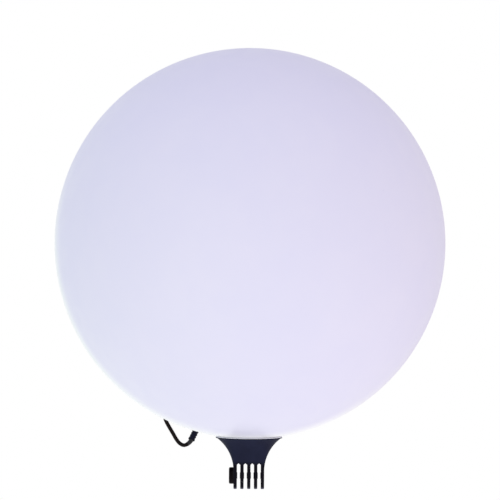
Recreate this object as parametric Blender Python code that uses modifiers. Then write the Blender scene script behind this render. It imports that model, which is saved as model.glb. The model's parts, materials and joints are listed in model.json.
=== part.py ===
"""Globe pool light on a five-finger tilt knuckle, in metres, +Z up.

The origin is the knuckle's pivot, the front of the lamp faces -Y, and the
battery pod sits low on the back of the globe. Three frames hold the pieces:
the knuckle's own, the globe's centre, and the pod's axis, whose local +Z
points out of the globe, low and backwards, and whose local +Y points down
and to the front.
"""

import math

import bmesh
import bpy
import numpy as np
from mathutils import Matrix, Vector

# Globe
GLOBE_RADIUS = 0.200
GLOBE_WALL = 0.003
GLOBE_STEPS = 40
GLOBE_RINGS = 10  # in each of its two halves

# Neck and knuckle
PIVOT_TO_GLOBE = 0.038  # from the pivot up to the globe's lowest point
RIM_RADIUS = 0.0342
RIM_EDGE = 0.0005
FLARE_START = 0.0056  # height over the pivot where the side's concave arc begins
FLARE_LEVELS = 9
SEAT_LEVELS = 4
KNUCKLE_WIDTH = 0.0314
KNUCKLE_DEPTH = 0.0276
KNUCKLE_CORNER = 0.0020
FINGER_COUNT = 5
FINGER_THICKNESS = 0.0034
SLOT_TOP = 0.0134
PIVOT_BORE_RADIUS = 0.0027
COLLAR_RADIUS = 0.0032
COLLAR_HEIGHT = 0.00045
SPIGOT_RADIUS = 0.0135
SPIGOT_BORE_RADIUS = 0.0105
SPIGOT_RISE = 0.0135  # over the globe's inner wall
NECK_WELL_DEPTH = 0.018  # under the globe's lowest point

# Pieces that seal and fix the neck
NECK_GASKET = 0.0009
LOCK_RING_RADIUS = 0.022
LOCK_RING_HEIGHT = 0.006
NOTCH_DEPTH = 0.004
NOTCH_WIDTH = 0.005

# Captive nut of the knuckle and its cap
NUT_CAP_RADIUS = 0.0085
NUT_CAP_THICKNESS = 0.0052
NUT_CAP_SEAT = 0.0005
NUT_CAP_EDGE = 0.0009
NUT_ACROSS_FLATS = 0.008
NUT_THICKNESS = 0.0040

# Light engine on top of the spigot
ENGINE_RADIUS = 0.036
ENGINE_PLATE = 0.004
ENGINE_STEM = 0.009
BOARD_RADIUS = 0.027
BOARD_THICKNESS = 0.0016
LED_COUNT = 6
LED_SIZE = 0.0050
LED_HEIGHT = 0.0010
LED_RING_RADIUS = 0.016
DOME_RADIUS = 0.0300
DOME_WALL = 0.0015
DOME_HEIGHT = 0.020
BOARD_SCREW_COUNT = 3
BOARD_SCREW_RING = 0.0235

# Battery pod
POD_TILT = math.radians(50)  # how far the pod's axis points below level
POD_RADIUS = 0.043
POD_WALL = 0.0022
POD_DEPTH = 0.040
POD_LEDGE = 0.0016
POD_LEDGE_DROP = 0.0140  # the board's ledge under the flange
POD_FLOOR = 0.0022
FLANGE_RADIUS = POD_RADIUS + 0.0037
FLANGE_THICKNESS = 0.004
POD_SEAL = 0.0009
CLAMP_RING_RADIUS = POD_RADIUS + 0.007
CLAMP_RING_HEIGHT = 0.005

# Rear cap over the pod
CAP_RADIUS = POD_RADIUS + 0.007
CAP_HEIGHT = 0.01061  # of its outer face over the pod's flange
CAP_PLATE = 0.003
CAP_SKIRT = 0.003
CAP_EDGE = 0.002
CAP_INNER_RADIUS = POD_RADIUS - 0.002
ORING_RADIUS = 0.0008
ORING_RING_RADIUS = POD_RADIUS - 0.0011
CAP_SCREW_COUNT = 6
CAP_SCREW_RING = POD_RADIUS + 0.0015
SCREW_RADIUS = 0.0014
SCREW_HEAD_RADIUS = 0.0027
SCREW_HEAD_HEIGHT = 0.0022
COUNTERBORE_DEPTH = 0.0032

# Power button, vent and status window in the rear cap
BUTTON_RADIUS = 0.008
BUTTON_PROUD = 0.0018
BUTTON_LIP = 0.0018
BUTTON_LIP_THICKNESS = 0.0015
BUTTON_STEM_RADIUS = 0.0025
BUTTON_EDGE = 0.0006
BUTTON_SHOULDER = 0.0013
BUTTON_TRAVEL = 0.0012
BEZEL_WIDTH = 0.0024
BEZEL_HEIGHT = 0.0010
SWITCH_SIZE = 0.006
SWITCH_HEIGHT = 0.0035
PLUNGER_RADIUS = 0.0016
PLUNGER_HEIGHT = 0.0016
VENT_PLACE = (0.020, -0.020)
VENT_RADIUS = 0.0055
VENT_HEAD = 0.0014
VENT_STEM_RADIUS = 0.003
WINDOW_PLACE = (0.0, -0.018)
WINDOW_RADIUS = 0.0022
WINDOW_PROUD = 0.0005

# Battery
CELL_RADIUS = 0.00925
CELL_TIP = 0.0010
CELL_PITCH = 0.020
HOLDER_ROOM = 0.0007  # between the holder's corners and the pod's ledge
HOLDER_END = 0.0005  # past each end of a cell
HOLDER_WIDTH = 0.0396
HOLDER_HEIGHT = 0.0105
HOLDER_FLOOR = 0.0014

# Socket stub on the cap, and the plug in it
SOCKET_ANGLE = math.radians(38.6)  # round the cap, from -X towards +Y
SOCKET_REACH = CAP_RADIUS + 0.012
SOCKET_DROP = 0.0057
SOCKET_YAW = math.radians(65.6)
SOCKET_PITCH = math.radians(19.0)
STUB_RADIUS = 0.006
STUB_LENGTH = 0.014
SOCKET_RADIUS = 0.0036
SOCKET_PROUD = 0.0065
SOCKET_DEPTH = 0.011
SOCKET_HOLE_RADIUS = 0.0017
SOCKET_HOLE_DEPTH = 0.011
SOCKET_NUT_RADIUS = 0.0056
SOCKET_NUT_THICKNESS = 0.0021
PLUG_LENGTH = 0.032  # from the plug's back to the stub's mouth
PLUG_RADIUS = 0.0034
PLUG_FLANGE = 0.0002
PLUG_GRIP_LENGTH = 0.014
PLUG_GROOVE = 0.0004
PLUG_GROOVE_PLACES = (0.0092, 0.0062, 0.0032)
PLUG_GROOVE_HALVES = (0.0007, 0.0004)  # half widths at its top and at its floor
PLUG_FLANGE_HEIGHT = 0.0012
PLUG_FLANGE_EDGE = 0.0002
SHANK_RADIUS = 0.0025
SHANK_LENGTH = 0.0100
COUPLING_RADIUS = 0.0047
COUPLING_FLATS = 12
PIN_RADIUS = 0.0013
PIN_LENGTH = 0.0085

# Gland on the cap and the lead in it
GLAND_ANGLE = math.radians(-10)
GLAND_DROP = 0.0062
GLAND_STUB_RADIUS = 0.005
GLAND_STUB_LENGTH = 0.005
GLAND_BORE_RADIUS = 0.0024
GLAND_FLANGE = 0.0017
GLAND_NUT_RADIUS = 0.0046
GLAND_NUT_LENGTH = 0.0067
LEAD_RADIUS = 0.0020
RELIEF_LENGTH = 0.0075
RELIEF_RADII = (LEAD_RADIUS + 0.00015, LEAD_RADIUS + 0.0005)
LEAD_SPACING = 0.0035

# The lead's route from the gland to the plug, from the globe's centre
LEAD_ROUTE = (
    (-0.0634, 0.1403, -0.1497),
    (-0.0735, 0.1412, -0.1488),
    (-0.0832, 0.1380, -0.1508),
    (-0.0895, 0.1285, -0.1563),
    (-0.0914, 0.1135, -0.1645),
    (-0.0906, 0.0975, -0.1738),
    (-0.0892, 0.0830, -0.1822),
    (-0.0867, 0.0745, -0.1882),
    (-0.0833, 0.0715, -0.1940),
    (-0.0798, 0.0710, -0.1998),
    (-0.0762, 0.0730, -0.2062),
    (-0.0725, 0.0765, -0.2108),
    (-0.0684, 0.0805, -0.2128),
    (-0.0648, 0.0843, -0.2118),
    (-0.0610, 0.0880, -0.2078),
)

# Wire from the pod to the light engine, from the globe's centre in globe radii
WIRE_RADIUS = 0.0014
WIRE_SPACING = 0.008
WIRE_ROUTE_MIDDLE = (
    (0.0, 0.4425, -0.540),
    (0.020, 0.340, -0.560),
    (0.030, 0.240, -0.630),
    (0.015, 0.180, -0.730),
)
GROMMET_RADIUS = 0.0045
GROMMET_LENGTH = 0.0060
GROMMET_TAPER = 0.0010
TERMINAL_SIZE = (0.008, 0.005, 0.004)
TERMINAL_OFFSET = 0.0002

# Clearances
GAP = 0.0003  # between pieces that touch or fit
SAG_ROOM = 0.0010  # for the flat facets of the globe's inner wall
MERGE = 0.00001
ROUND_STEPS = 32
SMALL_STEPS = 16

NECK_TOP = PIVOT_TO_GLOBE - NECK_GASKET - 2 * GAP
GLOBE_CENTRE = Vector((0, 0, PIVOT_TO_GLOBE + GLOBE_RADIUS))
SPIGOT_HOLE_RADIUS = SPIGOT_RADIUS + GAP
SPIGOT_TOP = PIVOT_TO_GLOBE + GLOBE_WALL + SPIGOT_RISE
FINGER_PITCH = (KNUCKLE_WIDTH - FINGER_THICKNESS) / (FINGER_COUNT - 1)
SEAT_RADIUS = GLOBE_RADIUS + NECK_GASKET + 2 * GAP
LEDGE_RADIUS = POD_RADIUS - POD_WALL - POD_LEDGE
POD_HOLE_RADIUS = POD_RADIUS + 2 * GAP


def height_on(radius, across):
    """How far along its axis a sphere's surface lies at this distance from the axis."""
    return math.sqrt(radius**2 - across**2)


RIM_HEIGHT = GLOBE_CENTRE.z - height_on(SEAT_RADIUS, RIM_RADIUS)
FLARE_RISE = RIM_HEIGHT - FLARE_START
FLARE_REACH = RIM_RADIUS - KNUCKLE_WIDTH / 2
FLARE_RADIUS = (FLARE_REACH**2 + FLARE_RISE**2) / (2 * FLARE_REACH)
HOLDER_LENGTH = 2 * height_on(LEDGE_RADIUS - HOLDER_ROOM, HOLDER_WIDTH / 2)
CELL_LENGTH = HOLDER_LENGTH - 2 * HOLDER_END
FLANGE_BASE = height_on(GLOBE_RADIUS, POD_HOLE_RADIUS) + POD_SEAL + GAP
FLANGE_TOP = FLANGE_BASE + FLANGE_THICKNESS
POD_BASE = FLANGE_TOP - POD_DEPTH
LEDGE_TOP = FLANGE_TOP - POD_LEDGE_DROP
BOARD_TOP = LEDGE_TOP + GAP + BOARD_THICKNESS
CAP_TOP = FLANGE_TOP + CAP_HEIGHT
CAP_UNDER = CAP_TOP - CAP_PLATE


def collection(name):
    made = bpy.data.collections.new(name)
    bpy.context.scene.collection.children.link(made)
    return made


def finish(name, colour, roughness, metallic=0.0):
    made = bpy.data.materials.new(name)
    made.use_nodes = True
    shader = made.node_tree.nodes["Principled BSDF"]
    shader.inputs["Base Color"].default_value = (*colour, 1)
    shader.inputs["Roughness"].default_value = roughness
    shader.inputs["Metallic"].default_value = metallic
    return made


def make_finishes():
    """Every piece's own finish, by a short name."""
    return {
        "globe": finish("globe_polyethylene", (0.76, 0.74, 0.90), 0.35),
        "black": finish("black_moulding", (0.021, 0.023, 0.040), 0.42),
        "cap": finish("cap_moulding", (0.020, 0.020, 0.022), 0.50),
        "brown_black": finish("nut_cap_moulding", (0.022, 0.017, 0.018), 0.38),
        "silicone": finish("clear_silicone", (0.80, 0.80, 0.84), 0.50),
        "rubber": finish("black_rubber", (0.012, 0.012, 0.013), 0.70),
        "jacket": finish("lead_jacket", (0.016, 0.013, 0.012), 0.45),
        "steel": finish("stainless_steel", (0.56, 0.56, 0.58), 0.30, 1.0),
        "brass": finish("nickel_plate", (0.66, 0.62, 0.52), 0.25, 1.0),
        "aluminium": finish("aluminium", (0.70, 0.71, 0.72), 0.40, 1.0),
        "board": finish("circuit_board", (0.02, 0.12, 0.05), 0.45),
        "white": finish("white_plastic", (0.82, 0.82, 0.80), 0.45),
        "led": finish("led_phosphor", (0.90, 0.75, 0.25), 0.40),
        "cell": finish("cell_sleeve", (0.05, 0.18, 0.42), 0.35),
        "window": finish("status_window", (0.30, 0.60, 0.35), 0.15),
        "button": finish("button_rubber", (0.055, 0.058, 0.065), 0.60),
    }


class Bench:
    """Where pieces go: their two collections, the three frames and the finishes."""

    def __init__(self):
        self.pieces = collection("pool_light")
        self.tools = collection("cutters")
        self.finishes = make_finishes()
        self.knuckle = self.frame("knuckle_frame", Matrix())
        self.globe = self.frame("globe_frame", Matrix.Translation(GLOBE_CENTRE))
        turn = Matrix.Rotation(-math.pi / 2 - POD_TILT, 4, "X")
        self.pod = self.frame("pod_frame", Matrix.Translation(GLOBE_CENTRE) @ turn)
        self.plug = self.frame("plug_frame", self.pod.matrix_world @ plug_place())
        self.gland = self.frame("gland_frame", self.pod.matrix_world @ gland_place())

    def frame(self, name, matrix):
        made = bpy.data.objects.new(name, None)
        self.pieces.objects.link(made)
        made.matrix_world = matrix
        bpy.context.view_layer.update()
        return made

    def place(self, obj, frame, material, offset=(0, 0, 0)):
        obj.parent = frame
        obj.location = offset
        if material:
            obj.data.materials.append(self.finishes[material])
            self.pieces.objects.link(obj)
        else:
            self.tools.objects.link(obj)
            obj.hide_render = True
            obj.display_type = "WIRE"
        return obj


def direction(yaw, pitch):
    """A unit vector in the pod's frame, its yaw taken from -X towards +Y."""
    flat = math.cos(pitch)
    return Vector((-flat * math.cos(yaw), flat * math.sin(yaw), math.sin(pitch)))


def aimed(point, along):
    return Matrix.Translation(point) @ along.to_track_quat("Z", "X").to_matrix().to_4x4()


def plug_place():
    """At the plug's back, +Z running into the socket, in the pod's frame."""
    mouth = SOCKET_REACH * direction(SOCKET_ANGLE, 0) + Vector((0, 0, CAP_TOP - SOCKET_DROP))
    out = direction(SOCKET_YAW, SOCKET_PITCH)
    return aimed(mouth + PLUG_LENGTH * out, -out)


def gland_place():
    """On the cap's axis, +Z running out through the gland, in the pod's frame."""
    return aimed(Vector((0, 0, CAP_TOP - GLAND_DROP)), direction(GLAND_ANGLE, 0))


def mesh_of(name, build):
    """A mesh made by a function that fills a bmesh."""
    shape = bmesh.new()
    build(shape)
    bmesh.ops.recalc_face_normals(shape, faces=shape.faces)
    mesh = bpy.data.meshes.new(name)
    shape.to_mesh(mesh)
    shape.free()
    mesh.shade_smooth()
    mesh.set_sharp_from_angle(angle=math.radians(35))
    return mesh


def turned(bench, name, profile, frame, material, offset=(0, 0, 0), steps=ROUND_STEPS):
    """A profile of (radius, height) turned about Z. It runs down the outer side."""
    mesh = bpy.data.meshes.new(name)
    last = len(profile) - 1
    edges = [(i, i + 1) for i in range(last)]
    if profile[0][0] > 0:
        edges.append((last, 0))
    mesh.from_pydata([(radius, 0, height) for radius, height in profile], edges, [])
    obj = bench.place(bpy.data.objects.new(name, mesh), frame, material, offset)
    screw = obj.modifiers.new("Turn", "SCREW")
    screw.angle = math.tau
    screw.steps = screw.render_steps = steps
    screw.use_merge_vertices = True
    screw.merge_threshold = MERGE
    screw.use_smooth_shade = True
    return obj


def ring(inner, outer, low, high):
    """The profile of a plain ring."""
    return [(outer, high), (outer, low), (inner, low), (inner, high)]


def rod(radius, low, high):
    """The profile of a plain rod."""
    return [(0, high), (radius, high), (radius, low), (0, low)]


def prism(bench, name, sides, across_flats, low, high, frame, material, offset=(0, 0, 0)):
    """An upright prism with regular sides."""
    radius = across_flats / 2 / math.cos(math.pi / sides)

    def build(shape):
        lift = Matrix.Translation((0, 0, (low + high) / 2))
        bmesh.ops.create_cone(
            shape, cap_ends=True, segments=sides, radius1=radius, radius2=radius,
            depth=high - low, matrix=lift,
        )

    return bench.place(bpy.data.objects.new(name, mesh_of(name, build)), frame, material, offset)


def box(bench, name, low, high, frame, material):
    """A box between two corners."""
    low, high = Vector(low), Vector(high)

    def build(shape):
        scale = Matrix.Diagonal((*(high - low), 1))
        bmesh.ops.create_cube(shape, size=1, matrix=Matrix.Translation((low + high) / 2) @ scale)

    return bench.place(bpy.data.objects.new(name, mesh_of(name, build)), frame, material)


def crosswise(bench, name, radius, low, high, axis, frame, offset=(0, 0, 0), steps=ROUND_STEPS):
    """A round cutter or helper that lies along X or Y."""
    turn = Matrix.Rotation(math.pi / 2, 4, "Y" if axis == "X" else "X")

    def build(shape):
        along = Vector((1, 0, 0)) if axis == "X" else Vector((0, 1, 0))
        lift = Matrix.Translation(along * (low + high) / 2)
        bmesh.ops.create_cone(
            shape, cap_ends=True, segments=steps, radius1=radius, radius2=radius,
            depth=high - low, matrix=lift @ turn,
        )

    return bench.place(bpy.data.objects.new(name, mesh_of(name, build)), frame, None, offset)


def combine(obj, operation, *others):
    for other in others:
        boolean = obj.modifiers.new(other.name, "BOOLEAN")
        boolean.operation = operation
        boolean.object = other


def weld(obj):
    """Joins the points that a Boolean leaves on top of each other."""
    modifier = obj.modifiers.new("Weld", "WELD")
    modifier.merge_threshold = MERGE


def smooth_route(points, spacing, first=None, last=None):
    """Evenly spaced points on the smooth curve through the route's points."""
    points = np.array(points, float)
    knots = np.append(0, np.cumsum(np.linalg.norm(np.diff(points, axis=0), axis=1)))
    slopes = np.gradient(points, knots, axis=0)
    if first is not None:
        slopes[0] = first
    if last is not None:
        slopes[-1] = last
    fine = np.linspace(0, knots[-1], 2000)
    cell = np.clip(np.searchsorted(knots, fine, side="right") - 1, 0, len(points) - 2)
    span = (knots[cell + 1] - knots[cell])[:, None]
    t = (fine - knots[cell])[:, None] / span
    curve = (
        (2 * t**3 - 3 * t**2 + 1) * points[cell]
        + (t**3 - 2 * t**2 + t) * span * slopes[cell]
        + (3 * t**2 - 2 * t**3) * points[cell + 1]
        + (t**3 - t**2) * span * slopes[cell + 1]
    )
    run = np.append(0, np.cumsum(np.linalg.norm(np.diff(curve, axis=0), axis=1)))
    count = max(2, round(run[-1] / spacing) + 1)
    even = np.linspace(0, run[-1], count)
    return np.stack([np.interp(even, run, curve[:, axis]) for axis in range(3)], axis=1)


def tube(bench, name, points, radii, frame, material):
    """A round tube along points, its radius changing evenly from one end to the other."""
    curve = bpy.data.curves.new(name, "CURVE")
    curve.dimensions = "3D"
    curve.bevel_depth = 1
    curve.bevel_resolution = 2
    curve.use_fill_caps = True
    spline = curve.splines.new("POLY")
    spline.points.add(len(points) - 1)
    for spot, place, radius in zip(spline.points, points, np.linspace(*radii, len(points))):
        spot.co = (*place, 1)
        spot.radius = radius
    return bench.place(bpy.data.objects.new(name, curve), frame, material)


def cut_line(points, start, end):
    """The stretch of a route between two distances along it."""
    run = np.append(0, np.cumsum(np.linalg.norm(np.diff(points, axis=0), axis=1)))
    inner = run[(run > start + MERGE) & (run < end - MERGE)]
    even = np.concatenate([[start], inner, [end]])
    return np.stack([np.interp(even, run, points[:, axis]) for axis in range(3)], axis=1)


def arc(radius, start, end, count):
    """Points (across, along the axis) of a circle, its angles measured from the axis."""
    angles = np.linspace(start, end, count)
    return [(radius * math.sin(a), radius * math.cos(a)) for a in angles]


# Globe -----------------------------------------------------------------------


def make_globe(bench):
    """A one-piece ball with a hole below for the neck and one behind for the pod."""
    inner = GLOBE_RADIUS - GLOBE_WALL
    outer_end = math.pi - math.asin(SPIGOT_HOLE_RADIUS / GLOBE_RADIUS)
    inner_end = math.pi - math.asin(SPIGOT_HOLE_RADIUS / inner)
    half = math.pi / 2
    profile = arc(GLOBE_RADIUS, 0, half, GLOBE_RINGS)
    profile += arc(GLOBE_RADIUS, half, outer_end, GLOBE_RINGS)[1:]
    profile += arc(inner, inner_end, half, GLOBE_RINGS)
    profile += arc(inner, half, 0, GLOBE_RINGS)[1:]
    profile[-1] = (0, inner)
    globe = turned(bench, "globe_shell", profile, bench.globe, "globe", steps=GLOBE_STEPS)
    hole = turned(
        bench, "pod_hole", rod(POD_HOLE_RADIUS, POD_BASE, CAP_TOP), bench.pod, None,
    )
    combine(globe, "DIFFERENCE", hole)


# Neck and knuckle ------------------------------------------------------------


def neck_section(height):
    """Half width, half depth and corner radius of the neck at a height over the pivot."""
    rise = max(0, height - FLARE_START)
    half = KNUCKLE_WIDTH / 2
    width = half + FLARE_RADIUS - math.sqrt(FLARE_RADIUS**2 - rise**2)
    share = min(1, (width - half) / (RIM_RADIUS - half))
    depth = KNUCKLE_DEPTH / 2 + share * (RIM_RADIUS - KNUCKLE_DEPTH / 2)
    corner = KNUCKLE_CORNER + share * (RIM_RADIUS - KNUCKLE_CORNER)
    return min(width, RIM_RADIUS), depth, min(corner, width, depth)


def rounded_outline(width, depth, corner, height, per_corner):
    """A rectangle with round corners, level at a height, counterclockwise from above."""
    points = []
    for quarter, (side, end) in enumerate(((1, 1), (-1, 1), (-1, -1), (1, -1))):
        for angle in np.linspace(0, math.pi / 2, per_corner) + quarter * math.pi / 2:
            x = side * (width - corner) + corner * math.cos(angle)
            y = end * (depth - corner) + corner * math.sin(angle)
            points.append((x, y, height))
    return points


def loft(shape, outlines):
    """Joins outlines of equal length into a closed skin with flat ends."""
    rows = [[shape.verts.new(point) for point in outline] for outline in outlines]
    for row, above in zip(rows, rows[1:]):
        for i in range(len(row)):
            j = (i + 1) % len(row)
            shape.faces.new((row[i], row[j], above[j], above[i]))
    shape.faces.new(rows[0][::-1])
    shape.faces.new(rows[-1])


def flare_shape(shape):
    """The neck's bell from the knuckle to the rim, hollowed on top to the globe's curve."""
    per_corner = 8
    heights = np.linspace(FLARE_START, RIM_HEIGHT - RIM_EDGE, FLARE_LEVELS)
    outlines = [rounded_outline(*neck_section(z), z, per_corner) for z in heights]
    for radius in np.linspace(RIM_RADIUS - GAP / 2, SPIGOT_RADIUS / 2, SEAT_LEVELS):
        z = GLOBE_CENTRE.z - height_on(SEAT_RADIUS, radius)
        outlines.append(rounded_outline(radius, radius, radius - MERGE, z, per_corner))
    loft(shape, outlines)


def finger_places():
    first = -(KNUCKLE_WIDTH - FINGER_THICKNESS) / 2
    return [first + i * FINGER_PITCH for i in range(FINGER_COUNT)]


def knuckle_block(bench):
    """The block of the fingers before the slots: round below, straight above."""
    half = KNUCKLE_WIDTH / 2

    def build(shape):
        outline = [
            (KNUCKLE_DEPTH / 2 * math.cos(a), KNUCKLE_DEPTH / 2 * math.sin(a))
            for a in np.linspace(math.pi, math.tau, 25)
        ]
        top = FLARE_START + GAP
        outline = [*outline, (KNUCKLE_DEPTH / 2, top), (-KNUCKLE_DEPTH / 2, top)]
        for x in (-half, half):
            for y, z in outline:
                shape.verts.new((x, y, z))
        shape.verts.ensure_lookup_table()
        count = len(outline)
        shape.faces.new([shape.verts[i] for i in range(count)])
        shape.faces.new([shape.verts[i + count] for i in reversed(range(count))])
        for i in range(count):
            j = (i + 1) % count
            corners = (i, i + count, j + count, j)
            shape.faces.new([shape.verts[k] for k in corners])

    mesh = mesh_of("knuckle_block", build)
    return bench.place(bpy.data.objects.new("knuckle_block", mesh), bench.knuckle, None)


def slot_cutters(bench):
    """The four gaps between the fingers, each with a round top."""
    half = (FINGER_PITCH - FINGER_THICKNESS) / 2
    reach = KNUCKLE_DEPTH
    cutters = []
    for i, x in enumerate(finger_places()[:-1]):
        middle = x + FINGER_PITCH / 2
        low = (middle - half, -reach, -reach)
        high = (middle + half, reach, SLOT_TOP - half)
        cutters.append(box(bench, f"slot_{i}", low, high, bench.knuckle, None))
        top = crosswise(
            bench, f"slot_top_{i}", half, -reach, reach, "Y", bench.knuckle,
            (middle, 0, SLOT_TOP - half), SMALL_STEPS,
        )
        cutters.append(top)
    return cutters


def collar_helpers(bench):
    """Low collars round the pivot on the faces that look into a gap."""
    helpers = []
    half = FINGER_THICKNESS / 2
    for i, x in enumerate(finger_places()):
        low = x - half + GAP if i == 0 else x - half - COLLAR_HEIGHT
        high = x + half - GAP if i == FINGER_COUNT - 1 else x + half + COLLAR_HEIGHT
        helpers.append(
            crosswise(bench, f"collar_{i}", COLLAR_RADIUS, low, high, "X", bench.knuckle,
                      steps=SMALL_STEPS)
        )
    return helpers


def make_neck(bench):
    """Bell, knuckle and spigot in one moulding."""
    mesh = mesh_of("neck", flare_shape)
    neck = bench.place(bpy.data.objects.new("neck", mesh), bench.knuckle, "black")
    spigot = turned(
        bench, "spigot", rod(SPIGOT_RADIUS, NECK_TOP - NECK_WELL_DEPTH / 4, SPIGOT_TOP),
        bench.knuckle, None,
    )
    well = turned(
        bench, "well", rod(SPIGOT_BORE_RADIUS, PIVOT_TO_GLOBE - NECK_WELL_DEPTH, SPIGOT_TOP + GAP),
        bench.knuckle, None,
    )
    outer_face = -KNUCKLE_WIDTH / 2
    bore = crosswise(
        bench, "pivot_bore", PIVOT_BORE_RADIUS, -KNUCKLE_WIDTH, KNUCKLE_WIDTH, "X", bench.knuckle,
        steps=SMALL_STEPS,
    )
    seat = crosswise(
        bench, "nut_cap_seat", NUT_CAP_RADIUS + GAP, outer_face - NUT_CAP_THICKNESS,
        outer_face + NUT_CAP_SEAT, "X", bench.knuckle,
    )
    combine(neck, "UNION", knuckle_block(bench), spigot)
    combine(neck, "DIFFERENCE", *slot_cutters(bench))
    combine(neck, "UNION", *collar_helpers(bench))
    combine(neck, "DIFFERENCE", bore, seat, well)


def make_neck_seals(bench):
    """The gasket under the globe and the ring nut that pulls the neck against it."""
    below = GLOBE_RADIUS + GAP + NECK_GASKET
    above = GLOBE_RADIUS + GAP
    outer = RIM_RADIUS - RIM_EDGE
    inner = SPIGOT_HOLE_RADIUS
    radii = np.linspace(outer, inner, 3)
    profile = [(r, -height_on(above, r)) for r in radii[::-1]]
    profile += [(r, -height_on(below, r)) for r in radii]
    turned(bench, "neck_gasket", profile, bench.globe, "silicone", steps=GLOBE_STEPS)
    base = GLOBE_CENTRE.z - height_on(GLOBE_RADIUS - GLOBE_WALL, LOCK_RING_RADIUS) + SAG_ROOM
    lock = turned(
        bench, "neck_lock_ring",
        ring(SPIGOT_HOLE_RADIUS, LOCK_RING_RADIUS, base, base + LOCK_RING_HEIGHT),
        bench.knuckle, "black",
    )
    notches = []
    for i, side in enumerate((-1, 1)):
        ends = sorted((side * (LOCK_RING_RADIUS - NOTCH_DEPTH), side * 2 * LOCK_RING_RADIUS))
        low = (ends[0], -NOTCH_WIDTH / 2, base + LOCK_RING_HEIGHT / 2)
        high = (ends[1], NOTCH_WIDTH / 2, base + 2 * LOCK_RING_HEIGHT)
        notches.append(box(bench, f"ring_notch_{i}", low, high, bench.knuckle, None))
    combine(lock, "DIFFERENCE", *notches)


def make_pivot_nut(bench):
    """The nut that takes the stand's pivot bolt, and the round cap that holds it."""
    inner_face = -KNUCKLE_WIDTH / 2 + NUT_CAP_SEAT - GAP
    outer_face = inner_face - NUT_CAP_THICKNESS + GAP
    turn = Matrix.Rotation(-math.pi / 2, 4, "Y")
    side = bench.frame("nut_frame", Matrix.Translation((inner_face, 0, 0)) @ turn)
    thickness = inner_face - outer_face
    edge = NUT_CAP_EDGE
    profile = [
        (0, thickness), (NUT_CAP_RADIUS - 2 * edge, thickness),
        (NUT_CAP_RADIUS - edge / 2, thickness - edge / 2),
        (NUT_CAP_RADIUS, thickness - 2 * edge), (NUT_CAP_RADIUS, 0), (0, 0),
    ]
    cap = turned(bench, "pivot_nut_cap", profile, side, "brown_black")
    pocket = prism(
        bench, "nut_pocket", 6, NUT_ACROSS_FLATS + 2 * GAP, -GAP, NUT_THICKNESS + GAP, side, None,
    )
    combine(cap, "DIFFERENCE", pocket)
    nut = prism(bench, "pivot_nut", 6, NUT_ACROSS_FLATS, 0, NUT_THICKNESS, side, "steel")
    thread = turned(
        bench, "nut_thread", rod(PIVOT_BORE_RADIUS - GAP, -GAP, NUT_THICKNESS + GAP), side, None,
        steps=SMALL_STEPS,
    )
    combine(nut, "DIFFERENCE", thread)


# Light engine ----------------------------------------------------------------


def make_engine(bench):
    """Heat spreader on the spigot, its circuit board, the emitters and their dome."""
    base = SPIGOT_TOP + GAP
    top = base + ENGINE_PLATE
    stem = SPIGOT_BORE_RADIUS - GAP
    profile = [
        (0, top), (ENGINE_RADIUS, top), (ENGINE_RADIUS, base), (stem, base),
        (stem, base - ENGINE_STEM), (0, base - ENGINE_STEM),
    ]
    turned(bench, "heat_spreader", profile, bench.knuckle, "aluminium")
    board_low = top + GAP
    board_high = board_low + BOARD_THICKNESS
    board = turned(
        bench, "led_board", rod(BOARD_RADIUS, board_low, board_high), bench.knuckle, "white",
    )
    for i in range(LED_COUNT):
        angle = math.tau * i / LED_COUNT
        x = LED_RING_RADIUS * math.cos(angle)
        y = LED_RING_RADIUS * math.sin(angle)
        half = LED_SIZE / 2
        low = (x - half, y - half, board_high + GAP)
        high = (x + half, y + half, board_high + GAP + LED_HEIGHT)
        box(bench, f"led_{i + 1}", low, high, bench.knuckle, "led")
    for i in range(BOARD_SCREW_COUNT):
        angle = math.tau * (i + 0.25) / BOARD_SCREW_COUNT
        x = BOARD_SCREW_RING * math.cos(angle)
        y = BOARD_SCREW_RING * math.sin(angle)
        hole = turned(
            bench, f"board_hole_{i}", rod(SCREW_RADIUS + GAP, board_low - GAP, board_high + GAP),
            bench.knuckle, None, (x, y, 0), SMALL_STEPS,
        )
        combine(board, "DIFFERENCE", hole)
        turned(
            bench, f"board_screw_{i + 1}", screw_profile(board_high + GAP, BOARD_THICKNESS),
            bench.knuckle, "steel", (x, y, 0), SMALL_STEPS,
        )
    make_dome(bench, board_low)


def make_dome(bench, base):
    """A translucent cover over the emitters, open below."""
    inner = DOME_RADIUS - DOME_WALL
    angles = np.linspace(0, math.pi / 2, 6)
    outside = [(DOME_RADIUS * math.sin(a), base + DOME_HEIGHT * math.cos(a)) for a in angles]
    inside = [(inner * math.sin(a), base + (DOME_HEIGHT - DOME_WALL) * math.cos(a)) for a in angles]
    outside[0] = (0, base + DOME_HEIGHT)
    profile = outside + inside[::-1]
    profile[-1] = (0, base + DOME_HEIGHT - DOME_WALL)
    turned(bench, "lens_dome", profile, bench.knuckle, "white", steps=24)


def screw_profile(seat, grip):
    """A cheese-head screw whose head rests at the seat height."""
    head = SCREW_HEAD_RADIUS
    top = seat + SCREW_HEAD_HEIGHT
    return [
        (0, top), (head * 0.82, top), (head, top - SCREW_HEAD_HEIGHT / 3), (head, seat),
        (SCREW_RADIUS, seat), (SCREW_RADIUS, seat - grip), (0, seat - grip),
    ]


# Battery pod -----------------------------------------------------------------


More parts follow.
